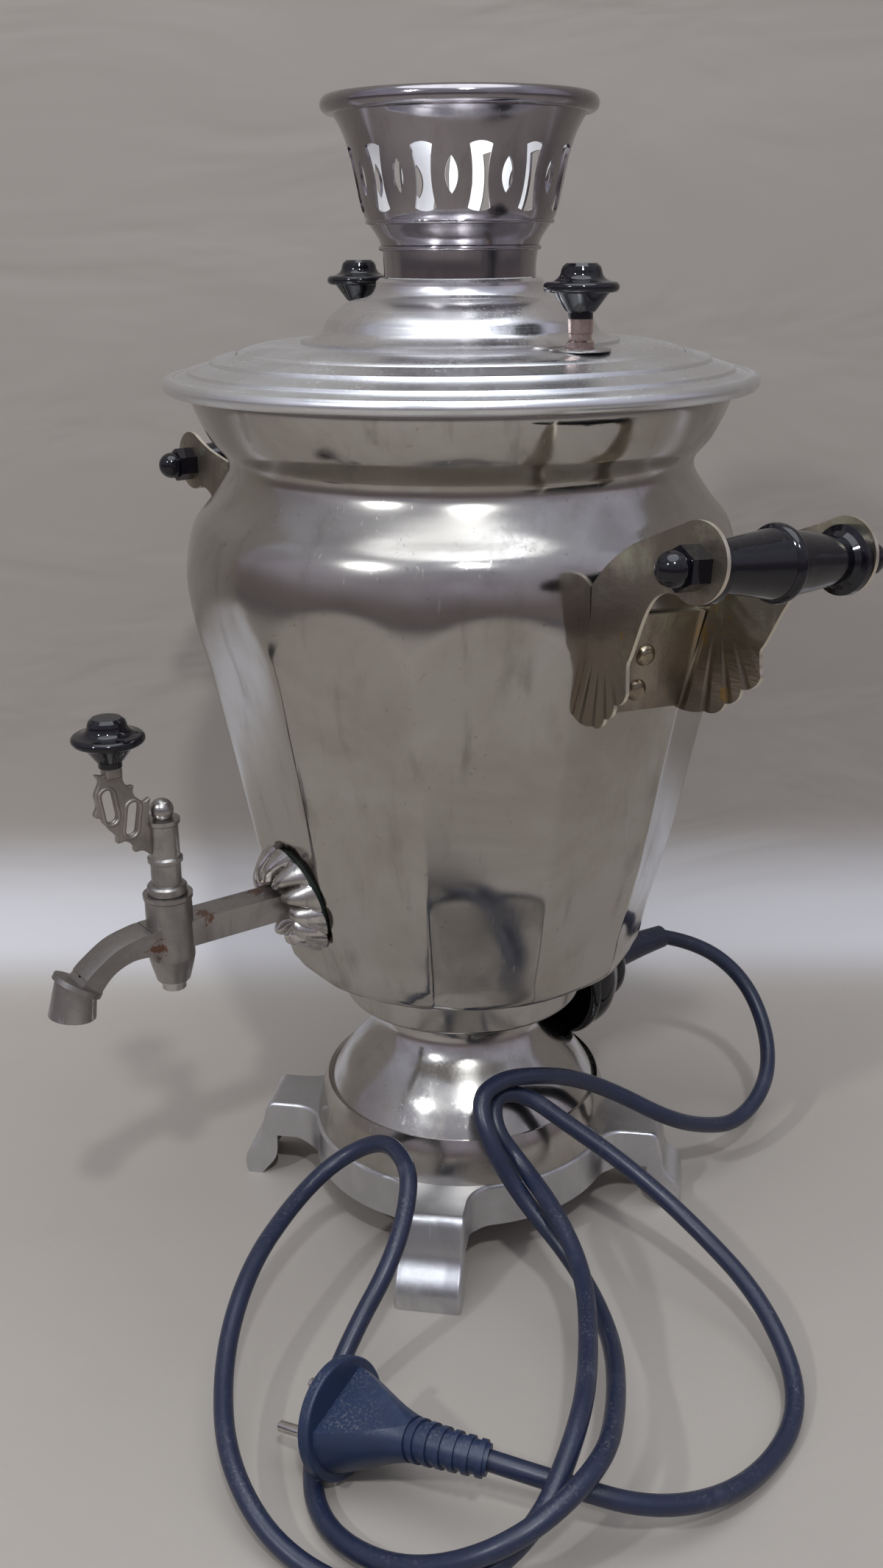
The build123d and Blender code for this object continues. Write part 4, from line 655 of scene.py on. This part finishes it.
@dataclass
class Tank(Builder):
    """The faceted tank, its collar and its pedestal."""

    wall: float = 1.2
    lining: float = 0.3
    inset: float = 0.985
    softness: float = 0.5
    pressed_beyond: float = 60.0
    pressed_below: float = 170.0
    unpressed: float = 200.0
    neck: tuple = ((102, 240.3), (102, 235), (101.6, 230), (96, 218), (90.3, 211), (89.2, 207.5), (90.4, 203),
                   (96.5, 194), (104, 184), (107.6, 166))
    ridge: tuple = ((107, 150), (103, 134), (95.6, 99), (87.6, 59), (78.4, 24), (76.5, 14))
    foot: tuple = ((76.2, 11.5), (74.9, 8.4), (72.8, 6), (70, 4.5), (54.5, 0), (45, 0))
    flare: tuple = ((118, 190), (108.2, 171), (103.7, 150))
    tail: Point = (67.9, -10)
    collar: tuple = ((27, 0), *arc((49, 2), 2, -90, 0), (51, 17.3), (49.8, 17.3), *arc((49, 2), 0.8, 0, -90),
                     (27, 1.2))
    stem: tuple = ((34, 61.7), (33.2, 51), (36, 43.5), (44, 35.3), (50.5, 28.5), (55, 22.3), (58, 17.8))
    bell: tuple = ((59.6, 18.4), (62, 12.4), (64, 4), (64.6, 0))
    hollow: tuple = ((63.4, 0), (60.8, 11), (56.4, 17), (42.8, 34), (34.6, 43), (32, 51), (32.6, 60.5),
                     (27, 60.5))

    def facet_reach(self, level: float) -> float:
        """Return how far the facets lie from the axis at a height above the tank's underside."""
        line = [*self.flare, *((r * cos(pi / FACETS), z) for r, z in self.ridge[1:]), self.tail]
        for (high_r, high_z), (low_r, low_z) in zip(line, line[1:]):
            if low_z <= level <= high_z:
                share = (level - low_z) / (high_z - low_z)
                return low_r + share * (high_r - low_r)
        return self.unpressed

    def facet(self, mesh: BMesh) -> None:
        """Press the facets into the tank's turned wall.

        Args:
            mesh: the turned wall.
        """
        pitch = 2 * pi / FACETS
        for vertex in mesh.verts:
            x, y = vertex.co.x, vertex.co.y - AXIS_Y
            reach = hypot(x, y) / MM
            level = vertex.co.z / MM - TANK_LEVEL
            if reach < self.pressed_beyond or level > self.pressed_below:
                continue
            turn = atan2(x, -y)
            local = turn - round(turn / pitch) * pitch
            gap = reach - self.facet_reach(level) / cos(local)
            pressed = reach - (gap + hypot(gap, self.softness)) / 2
            vertex.co.x *= pressed / reach
            vertex.co.y = AXIS_Y + y * pressed / reach

    def shell(self) -> BMesh:
        """Return the faceted wall with its inner face, and the rims that join the two.

        Returns:
            The bmesh of the wall.
        """
        outer = flowing([*self.neck, *self.ridge], 5) + list(self.foot)
        mesh = spun([(r, z + TANK_LEVEL) for r, z in outer], 600, closed=False)
        self.facet(mesh)
        inner = spun([(r - self.wall - self.lining, z + TANK_LEVEL) for r, z in outer[:-2]]
                     + [(outer[-1][0], TANK_LEVEL + self.wall)], 180, closed=False)
        self.facet(inner)
        for vertex in inner.verts:
            vertex.co.x *= self.inset
            vertex.co.y = AXIS_Y + (vertex.co.y - AXIS_Y) * self.inset
        carried = bpy.data.meshes.new("carried")
        inner.to_mesh(carried)
        inner.free()
        mesh.from_mesh(carried)
        bpy.data.meshes.remove(carried)
        rims = boundary(mesh)
        middle = sum(edge.verts[0].co.z for edge in rims) / len(rims)
        for upper in (True, False):
            ends = [edge for edge in rims if (edge.verts[0].co.z > middle) == upper]
            bmesh.ops.bridge_loops(mesh, edges=ends)
        return mesh

    def build(self) -> None:
        """Make the tank's pieces and hand them over."""
        self.hand_over(finish_piece("tank_wall", self.shell(), 50), "tank_nickel", "nickel_body",
                       replaced=("body_shell",))
        outer = [*flowing(self.stem, 5), *flowing(self.bell, 4)]
        pedestal = [(self.hollow[-1][0], outer[0][1]), *outer, *self.hollow]
        for name, profile, level, node in (("collar_drum", self.collar, COLLAR_LEVEL, "collar"),
                                           ("pedestal_dome", pedestal, BASE_TOP, "pedestal")):
            piece = finish_piece(name, spun([(r, z + level) for r, z in profile]))
            self.hand_over(piece, "foot_nickel", "nickel_body", replaced=(node,))


@dataclass
class Lid(Builder):
    """The washers that lie between the lid and its knobs."""

    knob_circle: float = 69.0
    washer: tuple = ((5.2, 0.02), (10.6, 0.02), (10.9, 0.35), (10.4, 0.8), (5.2, 1.0))

    def build(self) -> None:
        """Make the two washers."""
        for side, aside in (("right", self.knob_circle), ("left", -self.knob_circle)):
            disc = spun([(r, z + LID_TOP) for r, z in self.washer], 96, aside=aside)
            self.hand_over(finish_piece(f"{side}_lid_washer", disc), "zinc_steel", "steel", "lid")


@dataclass
class Tap(Builder):
    """The tap's rosette, its pierced lever and the crest of its spout."""

    petals: int = 12
    hub: float = 4.0
    dish: float = 9.0
    reach: float = 23.4
    swirl: float = 0.42
    rise: float = 3.4
    plumpness: float = 7.0
    valley: float = 0.12
    bead: tuple = (1.1, 0.2, 0.14)
    notch: float = 1.7
    lift: float = 0.2
    skirt: float = 0.96
    drop: float = 0.4
    seat: Point = (80.705, 14.25)
    gasket: float = 1.5
    crest: tuple = ((146, 4.6), (150, 4.25), (159.7, 1.9), (168.7, -3.6), (172.6, -6.8))
    crest_depth: float = 0.8
    crest_half: float = 6.25
    crest_draw: float = 0.3
    crest_edge: float = 0.12
    sheet: float = 2.4
    sheet_edge: float = 0.45
    rim: float = 0.8
    rim_levels: Point = (-0.9, 0.9)
    pad: tuple = (5.8, 4.4, 5.8)
    pad_at: tuple = (18.3, 67.4, 0)
    pad_edge: float = 0.8
    slot_length: float = 8.4
    slot_half: float = 2.1
    slots: tuple = ((20.3, 54.8, 82.0), (12.0, 48.4, 100.0))
    blade: tuple = ((4.6, 43), (5.4, 49), (4.6, 54.8), (7.4, 53.9), (10, 56.2), (11, 58.8), (10.6, 60.8),
                    (13, 61.2), (14.4, 63.8), (14.8, 69.4), (21, 69.4), (21.4, 66.8), (24.6, 67.4),
                    (23.4, 64.4), (25.4, 60), (25, 55.6), (26.2, 52.2), (23.4, 50.6), (21.2, 46.4),
                    (18.6, 43.2), (18.4, 40.4), (15, 40.4), (12.4, 38), (12, 35.6), (8.8, 35.4), (4.6, 33))

    def oval(self, centre: Point, lean: float, grown: float) -> list[Point]:
        """Return the closed line of a slot, or of a line that runs round it."""
        half, radius, turn = self.slot_length / 2, self.slot_half + grown, radians(lean)
        return [(centre[0] + x * cos(turn) - y * sin(turn), centre[1] + x * sin(turn) + y * cos(turn))
                for x, y in arc((half, 0), radius, -90, 90) + arc((-half, 0), radius, 90, 270)]

    def lever_curve(self, name: str, lines: list[list[Point]], levels: tuple = (0.0,)) -> Curve:
        """Return a curve of closed lines at some levels in or beside the lever's own plane."""
        curve = bpy.data.curves.new(name, "CURVE")
        curve.dimensions = "2D" if len(levels) == 1 else "3D"
        for line, level in ((line, level) for line in lines for level in levels):
            spline = curve.splines.new("POLY")
            spline.points.add(len(line) - 1)
            for control, (x, y) in zip(spline.points, line):
                control.co = (x * MM, y * MM, level * MM, 1)
            spline.use_cyclic_u = True
        return curve

    def lever(self) -> Object:
        """Return the lever: a pierced plate with thorns, and a raised rim round each slot.

        Returns:
            The new object.
        """
        holes = [self.oval(slot[:2], slot[2], 0.6) for slot in self.slots]
        plate = self.lever_curve("lever_plate", [flowing([*self.blade, self.blade[0]], 4)[:-1], *holes])
        plate.fill_mode = "BOTH"
        plate.extrude = (self.sheet / 2 - self.sheet_edge) * MM
        plate.bevel_depth = self.sheet_edge * MM
        plate.offset = -self.sheet_edge * MM
        plate.bevel_resolution = 2
        rims = self.lever_curve("lever_rims", [self.oval(slot[:2], slot[2], self.rim) for slot in self.slots],
                                self.rim_levels)
        rims.bevel_depth = self.rim * MM
        rims.bevel_resolution = 5
        mesh = bmesh.new()
        for curve in (plate, rims):
            carrier = bpy.data.objects.new(curve.name, curve)
            carried = bpy.data.meshes.new_from_object(carrier)
            mesh.from_mesh(carried)
            bpy.data.objects.remove(carrier)
            bpy.data.meshes.remove(carried)
            bpy.data.curves.remove(curve)
        pad = bmesh.ops.create_cube(mesh, size=1.0)["verts"]
        bmesh.ops.scale(mesh, verts=pad, vec=Vector(self.pad) * MM)
        bmesh.ops.translate(mesh, verts=pad, vec=Vector(self.pad_at) * MM)
        edges = list({edge for vertex in pad for edge in vertex.link_edges})
        bmesh.ops.bevel(mesh, geom=edges, offset=self.pad_edge * MM, segments=3, profile=0.5, affect="EDGES",
                        material=-1)
        upright = Matrix(((0, 0, -1, 0), (-1, 0, 0, 0), (0, 1, 0, 0), (0, 0, 0, 1)))
        bmesh.ops.transform(mesh, matrix=Matrix.Translation(place(0, -TAP_KEY, TAP_LEVEL)) @ upright,
                            verts=mesh.verts)
        return finish_piece("lever_openwork", mesh, 40)

    def spout_crest(self) -> Object:
        """Return the smooth face that runs along the top of the spout, with its edges.

        Returns:
            The new object.
        """
        upper = flowing(self.crest, 8)
        lower = [(out - self.crest_draw, rise - self.crest_depth) for out, rise in reversed(upper)]
        mesh = bmesh.new()
        points = [place(-self.crest_half, -out, TAP_LEVEL + rise) for out, rise in upper + lower]
        side = bmesh.ops.contextual_create(mesh, geom=add_line(mesh, points, True))["faces"]
        grown = bmesh.ops.extrude_face_region(mesh, geom=side)["geom"]
        bmesh.ops.translate(mesh, verts=only(BMVert, grown), vec=(2 * self.crest_half * MM, 0, 0))
        sharp = [edge for edge in mesh.edges if edge.calc_face_angle(0) > radians(50)]
        bmesh.ops.bevel(mesh, geom=sharp, offset=self.crest_edge * MM, segments=2, profile=0.5,
                        affect="EDGES", material=-1)
        return finish_piece("spout_crest", mesh, 40)

    def rosette(self) -> Object:
        """Return the rosette: plump petals that swirl out from a dished middle.

        Returns:
            The new object.
        """
        mesh = bmesh.new()
        rings = 30
        radii = [self.hub + (self.reach - self.hub) * step / rings for step in range(rings + 1)]
        strip = add_line(mesh, [Vector((radius * MM, 0, 0)) for radius in radii], False)
        bmesh.ops.spin(mesh, geom=strip, cent=(0, 0, 0), axis=(0, 0, 1), angle=2 * pi, steps=20 * self.petals,
                       use_merge=True, use_duplicate=False)
        bead_height, bead_at, bead_width = self.bead
        for vertex in mesh.verts:
            reach = hypot(vertex.co.x, vertex.co.y) / MM
            turn = atan2(vertex.co.y, vertex.co.x)
            out = min(max((reach - self.dish) / (self.reach - self.dish), 0.0), 1.0)
            across = (turn + self.swirl * out) * self.petals / (2 * pi) % 1 * 2 - 1
            plump = sqrt(max(0.0, 1 - across * across))
            full = self.valley + (1 - self.valley) * plump
            swell = self.rise * (1 - out) + self.plumpness * sin(pi * out ** 0.8) * full
            bead = bead_height * max(0.0, 1 - abs(out - bead_at) / bead_width) * plump
            vertex.co *= (reach - (1 - plump) * self.notch * out ** 2) / reach
            vertex.co.z = (swell + bead + self.lift) * MM
        skirt = bmesh.ops.extrude_edge_only(mesh, edges=boundary(mesh))["geom"]
        for vertex in only(BMVert, skirt):
            vertex.co *= self.skirt
            vertex.co.z = -self.lift * MM
        bmesh.ops.holes_fill(mesh, edges=boundary(mesh), sides=0)
        reach, lean = self.seat[0] + self.gasket, radians(self.seat[1])
        turned = Matrix(((1, 0, 0, 0), (0, -sin(lean), -cos(lean), 0), (0, cos(lean), -sin(lean), 0),
                         (0, 0, 0, 1)))
        stood = Matrix.Translation(place(0, -reach, TAP_LEVEL - self.drop)) @ turned
        bmesh.ops.transform(mesh, matrix=stood, verts=mesh.verts)
        return finish_piece("petal_rosette", mesh, 60)

    def build(self) -> None:
        """Make the rosette, the lever and the spout's crest, and hand them over."""
        self.hand_over(self.rosette(), "rosette_nickel", "tap_nickel", replaced=("tap_rosette",))
        self.hand_over(self.lever(), "lever_nickel", "tap_nickel", "tap_key", replaced=("tap_lever",))
        self.hand_over(self.spout_crest(), "tap_nickel", "tap_nickel")


@dataclass
class MainsCord(Builder):
    """The mains cord, which carries its boot and its plug."""

    radius: float = 3.5
    length: float = 1.578
    start: tuple = (0, 119, 85.5)
    end: tuple = (171.115, -116.527, 30.462)
    route: tuple = (
        (8.3, 136.7, 80.5), (25.3, 152.3, 63.2), (45, 149.1, 42.3), (62.5, 130.8, 29.6),
        (69.8, 103.9, 22.3), (70.3, 77.6, 31.4), (70.1, 56.3, 43.9), (60, 35.8, 59.1),
        (57.5, 14.8, 72), (57.3, -5.2, 79.9), (55.9, -21.9, 83.3), (59, -36.4, 80.9),
        (70.4, -39.3, 68.1), (79.9, -32.2, 46.8), (108.8, -25.4, 27.1), (143.7, -38, 22.4),
        (176.4, -65.3, 30.1), (202.1, -94.9, 39.2), (203.2, -133.3, 29.9), (176, -155.9, 11.1),
        (136.8, -163.2, 3.6), (101.7, -142.1, 3.7), (88.2, -116.8, 24), (83.1, -95, 43.4),
        (70.7, -78.6, 55.2), (59.2, -69.9, 63.4), (35.9, -65.7, 62.3), (21.4, -80, 50.1),
        (28, -104.9, 43.1), (47.6, -136.4, 37.9), (72.4, -161.6, 24.5), (110.7, -180.8, 17),
        (146.9, -178.7, 4.4), (185.4, -155.8, 4), (201.7, -123.6, 24.1), (185.1, -89.4, 41.1),
        (158.1, -62.4, 38.6), (127.5, -38, 39.4), (99.8, -29.4, 48.8), (72.9, -24.8, 53.4),
        (62.7, -30.9, 66.8), (52.5, -23.1, 75.5), (55.9, -8.5, 71.4), (69.7, 1.1, 61.3),
        (90.5, 14.4, 48.2), (120.2, 25.1, 31.5), (160.8, 24.5, 19.6), (196, 9.2, 4),
        (212.1, -32.7, 4.4), (211.4, -77.3, 17.7), (187.5, -104.7, 28.3),
    )

    def build(self) -> None:
        """Lay the cord, and hide the frame's cord in its place."""
        points = [place(*point) for point in (self.start, *self.route, self.end)]
        curve = bpy.data.curves.new("mains_cord", "CURVE")
        curve.dimensions = "3D"
        spline = curve.splines.new("NURBS")
        spline.points.add(len(points) - 1)
        for control, point in zip(spline.points, points):
            control.co = (*point, 1)
        spline.order_u = 3
        spline.use_endpoint_u = True
        spline.resolution_u = 10
        curve.bevel_depth = self.radius * MM
        curve.bevel_resolution = 7
        curve.use_fill_caps = True
        cord = add_object("mains_cord", curve)
        self.hand_over(cord, "cord_rubber", "cord_rubber", replaced=("cord",))


@dataclass(frozen=True)
class Lamp:
    """A round area lamp that looks at the tank, with its distance and width in metres."""

    name: str
    heading: tuple
    distance: float
    size: float
    power: float
    colour: tuple = (0.90, 0.95, 1.0)

    def hang(self, target: Vector) -> None:
        """Hang the lamp on its heading from the target."""
        data = bpy.data.lights.new(self.name, "AREA")
        data.shape = "DISK"
        data.size = self.size
        data.energy = self.power
        data.color = self.colour
        lamp = add_object(self.name, data)
        way = Vector(self.heading).normalized()
        lamp.location = target + way * self.distance
        lamp.rotation_mode = "QUATERNION"
        lamp.rotation_quaternion = way.to_track_quat("Z", "Y")


@dataclass
class Studio:
    """The pale paper sweep, the lamps, the surroundings and the camera, in metres."""

    paper: tuple = (0.385, 0.347, 0.305)
    # the colour of the painted highlight along the paper's fold
    painted_fold_highlight: tuple = (0.60, 0.59, 0.60)
    away: tuple = (-0.8122, 0.5835, 0)
    front_edge: float = -3.5
    fold_start: float = 0.150
    fold_radius: float = 0.085
    wall_lean: float = 0.06
    wall_height: float = 1.6
    wall_half: float = 1.4
    floor_half: float = 7.0
    floor_drop: float = 0.0006
    lens: float = 35.135
    sensor: float = 36.0
    camera_at: tuple = (0.482314, -0.320206, 0.404153)
    camera_axes: tuple = ((0.5856895607644385, 0.8105002289245887, -0.0075576004623474835),
                          (-0.2691723411180991, 0.20328939103423085, 0.9413924124773543),
                          (0.7645351458164372, -0.5493294115611513, 0.3372287182392957))
    lamp_target: float = 0.25
    lamps: tuple = (Lamp("left_lamp", (0.164, -0.771, 0.616), 2.1, 0.11, 11.0),
                    Lamp("right_lamp", (0.590, -0.341, 0.731), 2.0, 0.11, 12.0),
                    Lamp("soft_box", (0.1, -0.1, 1.0), 1.9, 1.9, 20.0))
    tones: tuple = ((-0.1, (0.17, 0.155, 0.15)), (0.04, (0.20, 0.17, 0.178)), (0.26, (0.46, 0.44, 0.53)),
                    (0.6, (0.50, 0.51, 0.61)), (0.95, (0.64, 0.68, 0.80)))
    shade: tuple = (0.10, 0.08, 0.085)

    def build(self) -> None:
        """Set up everything round the samovar."""
        self.aim_camera()
        self.lay_paper()
        for lamp in self.lamps:
            lamp.hang(Vector((0, AXIS_Y, self.lamp_target)))
        self.fill_surroundings()
        bpy.context.scene.view_settings.view_transform = "Standard"

    def aim_camera(self) -> None:
        """Put the camera in its place."""
        data = bpy.data.cameras.new("camera")
        data.lens = self.lens
        data.sensor_width = self.sensor
        camera = add_object("camera", data)
        turned = Matrix(self.camera_axes).transposed().to_4x4()
        camera.matrix_world = Matrix.Translation(self.camera_at) @ turned
        bpy.context.scene.camera = camera

    def paper_material(self) -> Material:
        """Return the pale wrapping paper, which can't be seen from behind, with a painted highlight along its
        fold and painted shade up the wall.

        Returns:
            The new material.
        """
        sheet, shader, where, material = start_material("pale_paper", Roughness=0.62, Specular_IOR_Level=0.35)
        tone = sheet.span(sheet.noise(where, 3.0, 5, 0.6), 0.3, 0.7)
        fibres = sheet.span(sheet.noise(sheet.stretch(where, (1, 1, 0.25)), 420.0, 4, 0.7), 0.3, 0.8)
        rise = sheet.parts(where)[2]
        # painted highlight: a lighter band where the floor bends up into the wall
        painted_fold_band = sheet.times(sheet.span(rise, 0.0, 0.02), sheet.span(rise, 0.03, 0.09, 1, 0))
        far = sheet.span(sheet.measure("LENGTH", where), 0.9, 3.0)
        colour = sheet.mix(tone, self.paper, darker(self.paper, 0.93))
        colour = sheet.mix(sheet.times(fibres, 0.12), colour, darker(self.paper, 0.8))
        # painted shade: the paper darkens as it rises up the wall, where less lamp light falls
        colour = sheet.mix(sheet.span(rise, 0.03, 0.16), colour, darker(self.paper, 0.82))
        colour = sheet.mix(sheet.times(painted_fold_band, 0.85), colour, self.painted_fold_highlight)
        sheet.join(sheet.mix(far, colour, darker(self.paper, 0.6)), shader.inputs["Base Color"])
        creases = sheet.noise(sheet.stretch(where, (1, 1, 2.5)), 5.0, 3, 0.5, 0.8)
        sheet.join(sheet.bump(0.5, 0.006, creases).outputs[0], shader.inputs["Normal"])
        behind = sheet.node("ShaderNodeNewGeometry").outputs["Backfacing"]
        clear = sheet.node("ShaderNodeBsdfTransparent")
        sided = sheet.node("ShaderNodeMixShader", {0: behind, 1: shader.outputs[0], 2: clear.outputs[0]})
        surface = next(node for node in sheet.tree.nodes if node.type == "OUTPUT_MATERIAL")
        sheet.join(sided.outputs[0], surface.inputs["Surface"])
        return material

    def sweep(self) -> Object:
        """Return the sheet of paper that lies in front and goes up behind in one bend.

        Returns:
            The new object.
        """
        away = Vector(self.away).normalized()
        across = Vector((away.y, -away.x, 0))
        bend = arc((self.fold_start, self.fold_radius), self.fold_radius, -90, -4, 14)
        line = [(self.front_edge, 0), (-0.4, 0), *bend,
                (self.fold_start + self.fold_radius + self.wall_lean, self.wall_height)]
        mesh = bmesh.new()
        corner = Vector((0, AXIS_Y, 0)) - across * self.wall_half
        strip = add_line(mesh, [corner + away * u + Vector((0, 0, z)) for u, z in line], False)
        grown = bmesh.ops.extrude_edge_only(mesh, edges=only(BMEdge, strip))["geom"]
        bmesh.ops.translate(mesh, verts=only(BMVert, grown), vec=across * 2 * self.wall_half)
        for face in mesh.faces:
            face.smooth = True
        faces = mesh.faces[:]
        faces[0].normal_update()
        if faces[0].normal.z < 0:
            bmesh.ops.reverse_faces(mesh, faces=faces)
        data = bpy.data.meshes.new("paper_sweep")
        mesh.to_mesh(data)
        mesh.free()
        return add_object("paper_sweep", data)

    def lay_paper(self) -> None:
        """Lay the sweep of paper, and the plain floor that goes on behind it."""
        sweep = self.sweep()
        ground = bmesh.new()
        bmesh.ops.create_grid(ground, x_segments=1, y_segments=1, size=self.floor_half)
        bmesh.ops.translate(ground, verts=ground.verts, vec=(0, 0, -self.floor_drop))
        floor = finish_piece("floor", ground)
        if floor.data.polygons[0].normal.z < 0:
            floor.data.flip_normals()
        material = self.paper_material()
        for stage in (sweep, floor):
            stage.data.materials.clear()
            stage.data.materials.append(material)

    def fill_surroundings(self) -> None:
        """Give the world a room's tones, darker low down, for the metal to show."""
        world = bpy.data.worlds.new("room")
        world.use_nodes = True
        world.node_tree.nodes.clear()
        sheet = Sheet(world.node_tree)
        way = sheet.node("ShaderNodeTexCoord").outputs["Generated"]
        rise = sheet.parts(way)[2]
        colour = self.tones[0][1]
        for (low, _), (high, tone) in zip(self.tones, self.tones[1:]):
            colour = sheet.mix(sheet.span(rise, low, high), colour, tone)
        patches = sheet.span(sheet.noise(way, 2.2, 3, 0.5), 0.45, 0.62)
        colour = sheet.mix(sheet.times(patches, 0.3), colour, self.shade)
        glow = sheet.node("ShaderNodeBackground", {"Color": colour, "Strength": 1.0})
        sheet.node("ShaderNodeOutputWorld", {"Surface": glow.outputs[0]})
        bpy.context.scene.world = world


def main() -> None:
    """Build every sub-assembly and the studio."""
    logging.basicConfig(level=logging.INFO, format="%(name)s: %(message)s")
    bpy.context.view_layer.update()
    Studio().build()
    palette = Palette()
    for assembly in (MainsCord, Tank, Lid, Tap):
        assembly(palette).build()


if __name__ == "__main__":
    main()
